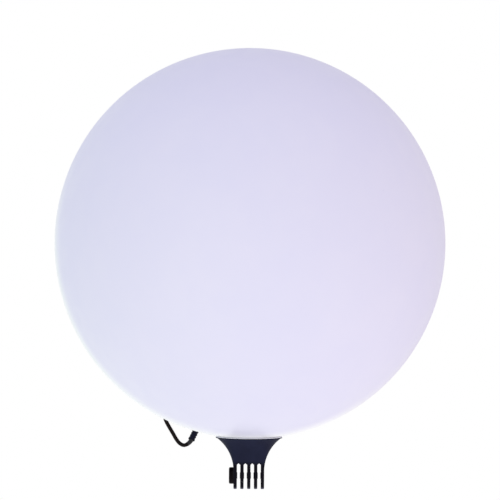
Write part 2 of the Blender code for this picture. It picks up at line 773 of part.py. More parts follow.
def make_pod(bench):
    """The cup behind the cap, its seal on the globe and the ring nut inside."""
    floor = POD_BASE + POD_FLOOR
    profile = [
        (FLANGE_RADIUS, FLANGE_TOP), (FLANGE_RADIUS, FLANGE_BASE), (POD_RADIUS, FLANGE_BASE),
        (POD_RADIUS, POD_BASE), (GROMMET_RADIUS - GAP * 4, POD_BASE),
        (GROMMET_RADIUS - GAP * 4, floor), (LEDGE_RADIUS, floor), (LEDGE_RADIUS, LEDGE_TOP),
        (POD_RADIUS - POD_WALL, LEDGE_TOP), (POD_RADIUS - POD_WALL, FLANGE_TOP),
    ]
    pod = turned(bench, "battery_pod", profile, bench.pod, "cap")
    combine(pod, "DIFFERENCE", *screw_holes(bench, SCREW_RADIUS + GAP, FLANGE_BASE + GAP * 2,
                                            FLANGE_TOP + GAP, "pod_screw_hole"))
    seal_top = FLANGE_BASE - GAP
    inner = POD_HOLE_RADIUS
    outer = FLANGE_RADIUS - GAP
    seal = [
        (outer, seal_top), (outer, height_on(GLOBE_RADIUS, outer) + GAP),
        (inner, height_on(GLOBE_RADIUS, inner) + GAP), (inner, seal_top),
    ]
    turned(bench, "pod_seal", seal, bench.pod, "silicone")
    top = height_on(GLOBE_RADIUS - GLOBE_WALL, CLAMP_RING_RADIUS) - SAG_ROOM - GAP
    profile = ring(POD_RADIUS + GAP, CLAMP_RING_RADIUS, top - CLAMP_RING_HEIGHT, top)
    turned(bench, "pod_clamp_ring", profile, bench.pod, "cap")


def screw_holes(bench, radius, low, high, name):
    """Cutters at every cap screw."""
    return [
        turned(bench, f"{name}_{i}", rod(radius, low, high), bench.pod, None, place, SMALL_STEPS)
        for i, place in enumerate(cap_screw_places())
    ]


def cap_screw_places():
    angles = [math.tau * (i + 0.5) / CAP_SCREW_COUNT for i in range(CAP_SCREW_COUNT)]
    return [(CAP_SCREW_RING * math.cos(a), CAP_SCREW_RING * math.sin(a), 0) for a in angles]


def cap_profile():
    """Plate with the button's opening, thick ring over the flange and thin skirt round it."""
    skirt_inner = CAP_RADIUS - CAP_SKIRT
    skirt_base = height_on(GLOBE_RADIUS, skirt_inner) + 2 * GAP
    ring_base = FLANGE_TOP + GAP
    rebate = ring_base + 2 * ORING_RADIUS + GAP
    step = ORING_RING_RADIUS + ORING_RADIUS + GAP
    edge = [
        (CAP_RADIUS - CAP_EDGE + CAP_EDGE * math.sin(a), CAP_TOP - CAP_EDGE + CAP_EDGE * math.cos(a))
        for a in np.linspace(0, math.pi / 2, 5)
    ]
    opening = BUTTON_RADIUS + GAP
    return [
        (opening, CAP_TOP), *edge, (CAP_RADIUS, skirt_base), (skirt_inner, skirt_base),
        (skirt_inner, ring_base), (step, ring_base), (step, rebate), (CAP_INNER_RADIUS, rebate),
        (CAP_INNER_RADIUS, CAP_UNDER), (opening, CAP_UNDER),
    ]


def make_cap(bench):
    """The rear cap with its socket stub, gland stub, screw holes and small openings."""
    cap = turned(bench, "rear_cap", cap_profile(), bench.pod, "cap")
    stub = turned(
        bench, "socket_stub", rod(STUB_RADIUS, PLUG_LENGTH, PLUG_LENGTH + STUB_LENGTH),
        bench.plug, None, steps=24,
    )
    gland_stub = turned(
        bench, "gland_stub",
        rod(GLAND_STUB_RADIUS, CAP_RADIUS - CAP_SKIRT, CAP_RADIUS + GLAND_STUB_LENGTH),
        bench.gland, None, steps=24,
    )
    combine(cap, "UNION", stub, gland_stub)
    plug_face = PLUG_LENGTH - GAP
    cutters = [
        turned(
            bench, "socket_bore",
            rod(SOCKET_RADIUS + GAP, plug_face, PLUG_LENGTH + SOCKET_DEPTH + GAP),
            bench.plug, None, steps=24,
        ),
        turned(
            bench, "gland_bore",
            rod(GLAND_BORE_RADIUS, CAP_INNER_RADIUS - GAP, CAP_RADIUS + GLAND_STUB_LENGTH + GAP),
            bench.gland, None, steps=SMALL_STEPS,
        ),
        turned(
            bench, "vent_hole", rod(VENT_STEM_RADIUS + GAP, CAP_UNDER - GAP, CAP_TOP + GAP),
            bench.pod, None, (*VENT_PLACE, 0), SMALL_STEPS,
        ),
        turned(
            bench, "window_hole", rod(WINDOW_RADIUS + GAP, CAP_UNDER - GAP, CAP_TOP + GAP),
            bench.pod, None, (*WINDOW_PLACE, 0), SMALL_STEPS,
        ),
    ]
    cutters += screw_holes(bench, SCREW_RADIUS + GAP, FLANGE_TOP, CAP_TOP, "cap_screw_hole")
    cutters += screw_holes(
        bench, SCREW_HEAD_RADIUS + GAP, CAP_TOP - COUNTERBORE_DEPTH, CAP_TOP + GAP, "counterbore",
    )
    combine(cap, "DIFFERENCE", *cutters)
    weld(cap)
    seat = CAP_TOP - COUNTERBORE_DEPTH + GAP
    grip = seat - FLANGE_BASE - 3 * GAP
    for i, place in enumerate(cap_screw_places()):
        turned(
            bench, f"cap_screw_{i + 1}", screw_profile(seat, grip), bench.pod, "steel", place,
            SMALL_STEPS,
        )
    ring_base = FLANGE_TOP + GAP + ORING_RADIUS
    oring = [
        (ORING_RING_RADIUS + ORING_RADIUS * math.sin(a), ring_base + ORING_RADIUS * math.cos(a))
        for a in np.linspace(0, math.tau, 6, endpoint=False)
    ]
    turned(bench, "cap_oring", oring, bench.pod, "rubber")


def make_button(bench):
    """The power button with its lip under the cap, its bezel, and the switch it presses."""
    lip_top = CAP_UNDER - GAP
    lip_base = lip_top - BUTTON_LIP_THICKNESS
    switch_top = BOARD_TOP + GAP + SWITCH_HEIGHT
    plunger_top = switch_top + PLUNGER_HEIGHT
    stem_end = plunger_top + BUTTON_TRAVEL + GAP
    top = CAP_TOP + BUTTON_PROUD
    profile = [
        (0, top), (BUTTON_RADIUS * 0.6, top - GAP / 2), (BUTTON_RADIUS - BUTTON_EDGE, top - BUTTON_EDGE),
        (BUTTON_RADIUS, top - BUTTON_SHOULDER), (BUTTON_RADIUS, lip_top),
        (BUTTON_RADIUS + BUTTON_LIP, lip_top), (BUTTON_RADIUS + BUTTON_LIP, lip_base),
        (BUTTON_STEM_RADIUS, lip_base), (BUTTON_STEM_RADIUS, stem_end), (0, stem_end),
    ]
    turned(bench, "power_button", profile, bench.pod, "button")
    inner = BUTTON_RADIUS + GAP
    bezel = [
        (inner + BEZEL_WIDTH * 0.7, CAP_TOP + GAP + BEZEL_HEIGHT),
        (inner + BEZEL_WIDTH, CAP_TOP + GAP), (inner, CAP_TOP + GAP),
        (inner, CAP_TOP + GAP + BEZEL_HEIGHT),
    ]
    turned(bench, "button_bezel", bezel, bench.pod, "rubber")
    half = SWITCH_SIZE / 2
    switch = box(
        bench, "tact_switch", (-half, -half, BOARD_TOP + GAP), (half, half, switch_top),
        bench.pod, "white",
    )
    plunger = turned(
        bench, "switch_plunger", rod(PLUNGER_RADIUS, switch_top - GAP, plunger_top),
        bench.pod, None, steps=SMALL_STEPS,
    )
    combine(switch, "UNION", plunger)


def make_cap_fittings(bench):
    """The vent plug and the status window in the cap's plate."""
    seat = CAP_TOP + GAP
    vent = [
        (0, seat + VENT_HEAD), (VENT_RADIUS * 0.85, seat + VENT_HEAD),
        (VENT_RADIUS, seat + VENT_HEAD / 2), (VENT_RADIUS, seat), (VENT_STEM_RADIUS, seat),
        (VENT_STEM_RADIUS, CAP_UNDER - GAP), (0, CAP_UNDER - GAP),
    ]
    turned(bench, "vent_plug", vent, bench.pod, "rubber", (*VENT_PLACE, 0), SMALL_STEPS)
    turned(
        bench, "status_window", rod(WINDOW_RADIUS, CAP_UNDER, CAP_TOP + WINDOW_PROUD),
        bench.pod, "window", (*WINDOW_PLACE, 0), SMALL_STEPS,
    )


def make_battery(bench):
    """Two cells in their holder, and the control board over them."""
    base = POD_BASE + POD_FLOOR + GAP
    axis = base + HOLDER_FLOOR + CELL_RADIUS + GAP
    length, width = HOLDER_LENGTH / 2, HOLDER_WIDTH / 2
    holder = box(
        bench, "battery_holder", (-length, -width, base), (length, width, base + HOLDER_HEIGHT),
        bench.pod, "white",
    )
    for i, side in enumerate((-1, 1)):
        place = (0, side * CELL_PITCH / 2, axis)
        trough = crosswise(
            bench, f"trough_{i}", CELL_RADIUS + GAP, -length - GAP, length + GAP, "X", bench.pod,
            place,
        )
        combine(holder, "DIFFERENCE", trough)
        turn = Matrix.Rotation(math.pi / 2, 4, "Y")
        frame = bench.frame(
            f"cell_frame_{i}", bench.pod.matrix_world @ Matrix.Translation(place) @ turn,
        )
        half = CELL_LENGTH / 2
        shoulder = half - CELL_TIP
        cell = [
            (0, half), (CELL_RADIUS * 0.35, half), (CELL_RADIUS * 0.35, shoulder),
            (CELL_RADIUS, shoulder), (CELL_RADIUS, -half), (0, -half),
        ]
        turned(bench, f"battery_cell_{i + 1}", cell, frame, "cell", steps=24)
    turned(
        bench, "control_board", rod(POD_RADIUS - POD_WALL - GAP, LEDGE_TOP + GAP, BOARD_TOP),
        bench.pod, "board",
    )


def make_wire(bench):
    """Grommet in the pod's floor, wire down to the light engine and its terminal."""
    groove = GROMMET_RADIUS - GAP * 5
    below = POD_BASE - GAP
    above = POD_BASE + POD_FLOOR
    grommet = [
        (groove, above - GAP), (groove, below), (GROMMET_RADIUS, below),
        (GROMMET_RADIUS - GROMMET_TAPER, below - GROMMET_LENGTH), (0, below - GROMMET_LENGTH),
    ]
    turned(
        bench, "wire_grommet", [(0, above - GAP), *grommet], bench.pod, "rubber",
        steps=SMALL_STEPS,
    )
    plate = SPIGOT_TOP + GAP + ENGINE_PLATE
    width, depth, height = TERMINAL_SIZE
    middle = (DOME_RADIUS + ENGINE_RADIUS) / 2 + TERMINAL_OFFSET
    low = (-width / 2, middle - depth / 2, plate + GAP)
    high = (width / 2, middle + depth / 2, plate + GAP + height)
    box(bench, "wire_terminal", low, high, bench.knuckle, "white")
    start = bench.pod.matrix_world @ Vector((0, 0, below - GROMMET_LENGTH - GAP)) - GLOBE_CENTRE
    end = Vector((0, middle, plate + 2 * GAP + height)) - GLOBE_CENTRE
    inward = -(bench.pod.matrix_world.to_3x3() @ Vector((0, 0, 1)))
    route = [start, *(GLOBE_RADIUS * Vector(point) for point in WIRE_ROUTE_MIDDLE), end]
    points = smooth_route(route, WIRE_SPACING, inward, (0, 0, -1))
    tube(bench, "lamp_wire", points, (WIRE_RADIUS, WIRE_RADIUS), bench.globe, "jacket")


# Lead, gland, socket and plug ------------------------------------------------


def make_gland(bench):
    """The gland's body in the stub and its domed nut; the lead starts at the nut's face."""
    face = CAP_RADIUS + GLAND_STUB_LENGTH + GAP
    body = GLAND_BORE_RADIUS - GAP
    flange_top = face + GLAND_FLANGE
    profile = [
        (0, flange_top), (GLAND_NUT_RADIUS, flange_top), (GLAND_NUT_RADIUS, face), (body, face),
        (body, CAP_INNER_RADIUS), (0, CAP_INNER_RADIUS),
    ]
    turned(bench, "lead_gland", profile, bench.gland, "rubber", steps=24)
    base = flange_top + GAP
    end = base + GLAND_NUT_LENGTH
    nut = [
        (0, end), (LEAD_RADIUS * 1.3, end), (GLAND_NUT_RADIUS * 0.8, end - GLAND_NUT_LENGTH / 3),
        (GLAND_NUT_RADIUS, end - GLAND_NUT_LENGTH / 2), (GLAND_NUT_RADIUS, base), (0, base),
    ]
    turned(bench, "gland_nut", nut, bench.gland, "black", steps=12)


def make_socket(bench):
    """The power socket in its stub, with the thin nut that holds it."""
    mouth = PLUG_LENGTH - SOCKET_PROUD
    profile = [
        (SOCKET_RADIUS, PLUG_LENGTH + SOCKET_DEPTH), (SOCKET_RADIUS, mouth),
        (SOCKET_HOLE_RADIUS, mouth), (SOCKET_HOLE_RADIUS, mouth + SOCKET_HOLE_DEPTH),
        (0, mouth + SOCKET_HOLE_DEPTH), (0, PLUG_LENGTH + SOCKET_DEPTH),
    ]
    profile = [profile[-1], *profile[:-1]]
    turned(bench, "power_socket", profile, bench.plug, "brass", steps=24)
    face = PLUG_LENGTH - GAP
    nut = prism(
        bench, "socket_nut", 6, 2 * SOCKET_NUT_RADIUS * math.cos(math.pi / 6),
        face - SOCKET_NUT_THICKNESS, face, bench.plug, "brass",
    )
    hole = turned(
        bench, "socket_nut_hole",
        rod(SOCKET_RADIUS + GAP, face - 2 * SOCKET_NUT_THICKNESS, face + GAP), bench.plug, None,
        steps=24,
    )
    combine(nut, "DIFFERENCE", hole)


def make_plug(bench):
    """The plug's ribbed grip and shank, its pin, and the coupling nut that turns on it."""
    flange = PLUG_RADIUS + PLUG_FLANGE
    deep = PLUG_RADIUS - PLUG_GROOVE
    profile = [(0, PLUG_GRIP_LENGTH + SHANK_LENGTH), (SHANK_RADIUS, PLUG_GRIP_LENGTH + SHANK_LENGTH)]
    profile += [(SHANK_RADIUS, PLUG_GRIP_LENGTH), (PLUG_RADIUS, PLUG_GRIP_LENGTH)]
    wide, narrow = PLUG_GROOVE_HALVES
    for middle in PLUG_GROOVE_PLACES:
        profile += [(PLUG_RADIUS, middle + wide), (deep, middle + narrow)]
        profile += [(deep, middle - narrow), (PLUG_RADIUS, middle - wide)]
    profile += [
        (PLUG_RADIUS, PLUG_FLANGE_HEIGHT + PLUG_FLANGE_EDGE), (flange, PLUG_FLANGE_HEIGHT),
        (flange, GAP), (0, GAP),
    ]
    turned(bench, "plug_body", profile, bench.plug, "black", steps=SMALL_STEPS)
    base = PLUG_GRIP_LENGTH + GAP
    end = PLUG_LENGTH - SOCKET_NUT_THICKNESS - 3 * GAP
    inner = SHANK_RADIUS + GAP
    step = PLUG_GRIP_LENGTH + SHANK_LENGTH + GAP
    mate = SOCKET_RADIUS + GAP
    nut = prism(
        bench, "coupling_nut", COUPLING_FLATS, 2 * COUPLING_RADIUS, base, end, bench.plug, "black",
    )
    bore = turned(bench, "coupling_bore", rod(inner, base - GAP, step), bench.plug, None, steps=24)
    mouth = turned(
        bench, "coupling_mouth", rod(mate, step - GAP, end + GAP), bench.plug, None, steps=24,
    )
    combine(nut, "DIFFERENCE", bore, mouth)
    tip = PLUG_GRIP_LENGTH + SHANK_LENGTH + GAP
    turned(
        bench, "plug_pin", rod(PIN_RADIUS, tip, tip + PIN_LENGTH), bench.plug, "brass",
        steps=SMALL_STEPS,
    )


def make_lead(bench):
    """The lead from the gland to the plug, and the tapered relief where it enters the plug."""
    out = bench.gland.matrix_world.to_3x3() @ Vector((0, 0, 1))
    into = bench.plug.matrix_world.to_3x3() @ Vector((0, 0, 1))
    fine = smooth_route(LEAD_ROUTE, LEAD_SPACING / 8, out, into)
    length = float(np.linalg.norm(np.diff(fine, axis=0), axis=1).sum())
    split = length - RELIEF_LENGTH
    lead = cut_line(fine, 0, split - 2 * GAP)
    count = round(split / LEAD_SPACING)
    picks = np.linspace(0, len(lead) - 1, count + 1).round().astype(int)
    tube(bench, "power_lead", lead[picks], (LEAD_RADIUS, LEAD_RADIUS), bench.globe, "jacket")
    relief = cut_line(fine, split, length)
    picks = np.linspace(0, len(relief) - 1, 6).round().astype(int)
    tube(bench, "strain_relief", relief[picks], RELIEF_RADII, bench.globe, "rubber")


def main():
    for obj in list(bpy.data.objects):
        bpy.data.objects.remove(obj, do_unlink=True)
    bench = Bench()
    make_globe(bench)
    make_neck(bench)
    make_neck_seals(bench)
    make_pivot_nut(bench)
    make_engine(bench)
    make_pod(bench)
    make_cap(bench)
    make_button(bench)
    make_cap_fittings(bench)
    make_battery(bench)
    make_wire(bench)
    make_gland(bench)
    make_socket(bench)
    make_plug(bench)
    make_lead(bench)


main()
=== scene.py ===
"""Globe pool light on a five-finger tilt knuckle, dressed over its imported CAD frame.

Lengths are in metres, +Z is up, the origin is the knuckle's pivot and the
front of the lamp faces -Y. Each new piece is a grid of points worked out as
whole arrays; its function says the formula in words.
"""

import json
import math

import bmesh
import bpy
import numpy as np
from bpy.props import FloatProperty, FloatVectorProperty, IntProperty, PointerProperty
from bpy.types import Operator, Panel, PropertyGroup
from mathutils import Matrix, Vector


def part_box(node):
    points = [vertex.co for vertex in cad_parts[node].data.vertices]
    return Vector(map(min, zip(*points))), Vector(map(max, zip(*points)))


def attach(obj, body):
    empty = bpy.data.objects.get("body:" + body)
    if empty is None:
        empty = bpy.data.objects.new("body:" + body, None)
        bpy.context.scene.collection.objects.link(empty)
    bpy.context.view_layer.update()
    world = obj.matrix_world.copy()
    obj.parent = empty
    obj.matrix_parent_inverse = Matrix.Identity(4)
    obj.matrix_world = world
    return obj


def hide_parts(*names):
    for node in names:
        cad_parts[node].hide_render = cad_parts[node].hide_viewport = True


bl_info = {
    "name": "Globe pool light",
    "version": (1, 0, 0),
    "blender": (4, 5, 0),
    "location": "View3D > Sidebar > Pool light",
    "description": "Builds the visible pieces of a globe pool light around its CAD frame",
    "category": "Object",
}

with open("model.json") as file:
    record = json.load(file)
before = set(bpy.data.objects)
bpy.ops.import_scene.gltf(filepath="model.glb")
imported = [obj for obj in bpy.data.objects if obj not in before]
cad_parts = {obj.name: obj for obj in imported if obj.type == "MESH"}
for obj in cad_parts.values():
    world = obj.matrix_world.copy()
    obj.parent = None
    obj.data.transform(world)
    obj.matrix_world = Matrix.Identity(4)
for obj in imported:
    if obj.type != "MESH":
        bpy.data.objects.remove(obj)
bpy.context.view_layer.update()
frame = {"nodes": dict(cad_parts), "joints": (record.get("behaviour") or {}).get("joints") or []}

# Places taken from the frame -------------------------------------------------

GLOBE_RADIUS = 0.200
GLOBE_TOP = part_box("globe_shell")[1].z
GLOBE_CENTRE = np.array([0.0, 0.0, GLOBE_TOP - GLOBE_RADIUS])
JOINTS = {joint["name"]: joint for joint in frame["joints"]}

# Sizes that the pieces share with the frame ----------------------------------

GAP = 0.0003
RIM_RADIUS = 0.0342
FLARE_RADIUS = 0.0403
FLARE_START = 0.0056
HALF_WIDTH = 0.0157
HALF_DEPTH = 0.0138
FINGER_COUNT = 5
FINGER_PITCH = 0.0070
FINGER_THICKNESS = 0.0034
SLOT_TOP = 0.0134
BORE_RADIUS = 0.0027
COLLAR_RADIUS = 0.0032
COLLAR_HEIGHT = 0.00045
SPIGOT_RADIUS = 0.0135
SPIGOT_BORE = 0.0105
SPIGOT_TOP = 0.0545
WELL_FLOOR = 0.020
SEAT_RADIUS = 0.2015  # of the neck's hollow top, from the globe's centre
NUT_CAP_RADIUS = 0.0085
NUT_CAP_INNER = -0.0155
NUT_CAP_OUTER = -0.0204
POD_HOLE_RADIUS = 0.0436
CAP_RADIUS = 0.050
CAP_TOP = 0.211
CAP_UNDER = 0.208
LIP_TOP = 0.2077  # of what is held under the cap's plate
SCREW_RING = 0.0445
SCREW_COUNT = 6
SCREW_HEAD = 0.0027
COUNTERBORE = 0.0032
VENT_PLACE = (0.020, -0.020)
WINDOW_PLACE = (0.0, -0.018)
BUTTON_RADIUS = 0.008
BUTTON_TOP = 0.2128
PLUG_LENGTH = 0.032
LEAD_RADIUS = 0.0020
RELIEF_LENGTH = 0.0075
RELIEF_RADII = (LEAD_RADIUS + 0.00015, LEAD_RADIUS + 0.0005)

# The lead's route from the gland to the plug, from the globe's centre
LEAD_ROUTE = (
    (-0.0634, 0.1403, -0.1497),
    (-0.0735, 0.1412, -0.1488),
    (-0.0832, 0.1380, -0.1508),
    (-0.0895, 0.1285, -0.1563),
    (-0.0914, 0.1135, -0.1645),
    (-0.0906, 0.0975, -0.1738),
    (-0.0892, 0.0830, -0.1822),
    (-0.0867, 0.0745, -0.1882),
    (-0.0833, 0.0715, -0.1940),
    (-0.0798, 0.0710, -0.1998),
    (-0.0762, 0.0730, -0.2062),
    (-0.0725, 0.0765, -0.2108),
    (-0.0684, 0.0805, -0.2128),
    (-0.0648, 0.0843, -0.2118),
    (-0.0610, 0.0880, -0.2078),
)

LAMP = "lamp"
WELD = 1e-6
FULL = math.tau
SHARP = 40  # degrees; an edge that turns by more stays sharp
SIDE_HINT = (-0.33, 0.45, -0.83)  # never runs along the lead


# Frames ----------------------------------------------------------------------


def unit(vector):
    vector = np.asarray(vector, float)
    return vector / np.linalg.norm(vector)


def axes(origin, up, side):
    """A 4 by 4 frame at origin, +Z along up and +X as near side as it can be."""
    z = unit(up)
    x = unit(np.asarray(side, float) - z * np.dot(side, z))
    made = np.eye(4)
    made[:3, 0], made[:3, 1], made[:3, 2], made[:3, 3] = x, np.cross(z, x), z, origin
    return made


POD_AXIS = -unit(JOINTS["button_press"]["axis"])
PLUG_AXIS = unit(JOINTS["coupling_turn"]["axis"])

WORLD = np.eye(4)
AT_GLOBE = axes(GLOBE_CENTRE, (0, 0, 1), (1, 0, 0))
AT_POD = axes(GLOBE_CENTRE, POD_AXIS, (1, 0, 0))
AT_PLUG = axes(JOINTS["coupling_turn"]["pos_m"], PLUG_AXIS, (0, 0, 1))

GLAND_ANGLE = math.radians(190)  # round the pod's axis, from +X
GLAND_DROP = 0.0062
GLAND_AXIS = AT_POD[:3, :2] @ np.array((math.cos(GLAND_ANGLE), math.sin(GLAND_ANGLE)))
AT_GLAND = axes(GLOBE_CENTRE + (CAP_TOP - GLAND_DROP) * POD_AXIS, GLAND_AXIS, (0, 0, 1))
AT_NUT = axes((0, 0, 0), (-1, 0, 0), (0, 0, 1))


def place(points, at):
    """Points of a frame's own space as points of the whole object."""
    return points @ at[:3, :3].T + at[:3, 3]


# Meshes ----------------------------------------------------------------------


def quads(rows, columns, ring):
    """The four corners of every cell of a grid that closes along its columns, and
    along its rows too where it is a ring."""
    i = np.arange(rows if ring else rows - 1)[:, None]
    j = np.arange(columns)[None, :]
    below, right = (i + 1) % rows, (j + 1) % columns
    corners = [i * columns + j, i * columns + right, below * columns + right, below * columns + j]
    return np.stack(np.broadcast_arrays(*corners), axis=-1).reshape(-1, 4)


def skin(name, grids, material):
    """One object from grids of points, each (rows, columns, 3), closed along its
    columns. A grid given as a pair with True closes along its rows as well.
    Points at one place are welded, so poles and seams are closed."""
    points, faces, start = [], [], 0
    for grid in grids:
        grid, ring = grid if isinstance(grid, tuple) else (grid, False)
        rows, columns = grid.shape[:2]
        faces.append(quads(rows, columns, ring) + start)
        points.append(grid.reshape(-1, 3))
        start += rows * columns
    mesh = bpy.data.meshes.new(name)
    mesh.from_pydata(np.concatenate(points).tolist(), [], np.concatenate(faces).tolist())
    shape = bmesh.new()
    shape.from_mesh(mesh)
    bmesh.ops.remove_doubles(shape, verts=shape.verts, dist=WELD)
    bmesh.ops.dissolve_degenerate(shape, edges=shape.edges, dist=WELD)
    bmesh.ops.recalc_face_normals(shape, faces=shape.faces)
    shape.to_mesh(mesh)
    shape.free()
    smooth(mesh, SHARP)
    made = bpy.data.objects.new(name, mesh)
    bpy.context.scene.collection.objects.link(made)
    if material:
        mesh.materials.append(material)
    return made


def smooth(mesh, sharp):
    """Smooth shading, apart from edges that turn by more than sharp degrees."""
    mesh.shade_smooth()
    mesh.set_sharp_from_angle(angle=math.radians(sharp))


def rounded(corners, steps=6):
    """A profile with softened corners. Each corner is (across, along, reach): the
    line leaves it at that reach on both sides and bends on a quadratic curve,
    with one more point just outside the bend so that flats stay flat."""
    corners = np.array([(*corner, 0)[:3] for corner in corners], float)
    at, reach = corners[:, :2], corners[:, 2:]
    before, after = np.roll(at, 1, axis=0), np.roll(at, -1, axis=0)
    before[0], after[-1] = at[0] + (1, 0), at[-1] + (1, 0)
    back = (before - at) / np.maximum(np.linalg.norm(before - at, axis=1, keepdims=True), WELD)
    ahead = (after - at) / np.maximum(np.linalg.norm(after - at, axis=1, keepdims=True), WELD)
    start, end = at + back * reach, at + ahead * reach
    t = np.linspace(0, 1, steps)[:, None, None]
    bend = (1 - t) ** 2 * start + 2 * t * (1 - t) * at + t**2 * end
    line = np.concatenate([(at + back * reach * 1.2)[None], bend, (at + ahead * reach * 1.2)[None]])
    return line.transpose(1, 0, 2).reshape(-1, 2)


def spun(profile, at, steps):
    """A profile of (across, along) carried round the frame's own Z."""
    profile = np.asarray(profile, float)
    turn = np.arange(steps) * FULL / steps
    across, along = profile[:, :1], profile[:, 1:]
    grid = np.stack(
        [across * np.cos(turn), across * np.sin(turn), along + 0 * turn], axis=-1
    )
    return place(grid, at)


def shifted(at, x, y):
    """The frame moved by x and y in its own directions."""
    moved = at.copy()
    moved[:3, 3] += x * at[:3, 0] + y * at[:3, 1]
    return moved


def rod(radius, low, high):
    """The profile of a plain rod between two heights."""
    return [(0, low), (radius, low), (radius, high), (0, high)]


def stands_for(piece, node_name, body=LAMP):
    """Attaches the piece to the body that it moves with and hides the CAD node that it
    replaces."""
    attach(piece, body)
    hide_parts(node_name)


def dressed(name, grids, finishes, slot, node_name, body=LAMP):
    """A piece in its slot's finish that stands for one CAD node on that body."""
    stands_for(skin(name, grids, finishes[slot]), node_name, body)


def settle(made, operation, others, sharp=SHARP):
    """Joins or cuts the object with others by an exact Boolean, and keeps the result
    as its own mesh."""
    for other in others:
        step = made.modifiers.new(other.name, "BOOLEAN")
        step.operation, step.object, step.solver = operation, other, "EXACT"
    graph = bpy.context.evaluated_depsgraph_get()
    mesh = bpy.data.meshes.new_from_object(made.evaluated_get(graph))
    made.modifiers.clear()
    made.data = mesh
    for other in others:
        bpy.data.objects.remove(other)
    smooth(mesh, sharp)
    return made


def smooth_route(points, count, first, last):
    """Evenly spaced points on the cubic curve through the route's points, its
    slopes taken from the neighbours and given at both ends."""
    points = np.array(points, float)
    knots = np.append(0, np.cumsum(np.linalg.norm(np.diff(points, axis=0), axis=1)))
    slopes = np.gradient(points, knots, axis=0)
    slopes[0], slopes[-1] = first, last
    fine = np.linspace(0, knots[-1], 4000)
    cell = np.clip(np.searchsorted(knots, fine, side="right") - 1, 0, len(points) - 2)
    span = (knots[cell + 1] - knots[cell])[:, None]
    t = (fine - knots[cell])[:, None] / span
    curve = (
        (2 * t**3 - 3 * t**2 + 1) * points[cell]
        + (t**3 - 2 * t**2 + t) * span * slopes[cell]
        + (3 * t**2 - 2 * t**3) * points[cell + 1]
        + (t**3 - t**2) * span * slopes[cell + 1]
    )
    return even_line(curve, count)


def distances(line):
    """How far along the line each of its points is."""
    return np.append(0, np.cumsum(np.linalg.norm(np.diff(line, axis=0), axis=1)))


def even_line(line, count, start=0.0, end=None):
    """Evenly spaced points between two distances along a line."""
    run = distances(line)
    at = np.linspace(start, run[-1] if end is None else end, count)
    return np.stack([np.interp(at, run, line[:, axis]) for axis in range(3)], axis=1)


def swept(line, radii, sides):
    """A round tube: at each point of the line a circle of that point's radius, square
    to the line. The circles' first direction is one fixed direction made square
    to the line, and both ends close on the line."""
    along = np.gradient(line, axis=0)
    along /= np.linalg.norm(along, axis=1, keepdims=True)
    side = np.array(SIDE_HINT) - along * (along @ np.array(SIDE_HINT))[:, None]
    side /= np.linalg.norm(side, axis=1, keepdims=True)
    other = np.cross(along, side)
    turn = np.arange(sides) * FULL / sides
    radii = np.asarray(radii)[:, None, None]
    ring = side[:, None] * np.cos(turn)[:, None] + other[:, None] * np.sin(turn)[:, None]
    grid = line[:, None] + radii * ring
    first, last = np.repeat(line[:1, None], sides, 1), np.repeat(line[-1:, None], sides, 1)
    return np.concatenate([first, grid, last])


# Finishes --------------------------------------------------------------------


def node(tree, kind, inputs=(), **settings):
    """A shader node with its settings, its inputs given as values or as sockets."""
    made = tree.nodes.new(kind)
    for key, value in settings.items():
        setattr(made, key, value)
    for key, value in dict(inputs).items():
        if isinstance(value, bpy.types.NodeSocket):
            tree.links.new(value, made.inputs[key])
        else:
            made.inputs[key].default_value = value
    return made


def sums(tree, operation, first, second):
    """One sum on two values, by its name in the Math node."""
    return node(tree, "ShaderNodeMath", {0: first, 1: second}, operation=operation).outputs[0]


def spread(tree, value, low, high, to_low=0.0, to_high=1.0):
    """A value between low and high carried smoothly to the other two."""
    made = node(
        tree, "ShaderNodeMapRange",
        {"Value": value, "From Min": low, "From Max": high, "To Min": to_low, "To Max": to_high},
        interpolation_type="SMOOTHSTEP",
    )
    return made.outputs["Result"]


def blended(tree, share, first, second):
    """A colour between two, by a share."""
    made = node(tree, "ShaderNodeMix", data_type="RGBA")
    for socket, value in zip((made.inputs[0], made.inputs[6], made.inputs[7]), (share, first, second)):
        if isinstance(value, bpy.types.NodeSocket):
            tree.links.new(value, socket)
        else:
            socket.default_value = value if socket.type == "VALUE" else (*value[:3], 1)
    return made.outputs[2]


def group(name, takes, gives, build):
    """A shader node group, built once. takes and gives list (name, kind, default)."""
    made = bpy.data.node_groups.get(name)
    if made:
        return made
    made = bpy.data.node_groups.new(name, "ShaderNodeTree")
    for label, kind, default in takes:
        socket = made.interface.new_socket(label, in_out="INPUT", socket_type=f"NodeSocket{kind}")
        if default is not None:
            socket.default_value = default
    for label, kind in gives:
        made.interface.new_socket(label, in_out="OUTPUT", socket_type=f"NodeSocket{kind}")
    source, drain = made.nodes.new("NodeGroupInput"), made.nodes.new("NodeGroupOutput")
    for label, value in build(made, source.outputs).items():
        made.links.new(value, drain.inputs[label])
    return made


def noise(tree, vector, scale, detail=2.0, rough=0.5):
    """A noise pattern's value, from 0 to 1."""
    made = node(
        tree, "ShaderNodeTexNoise",
        {"Vector": vector, "Scale": scale, "Detail": detail, "Roughness": rough},
    )
    return made.outputs["Fac"]


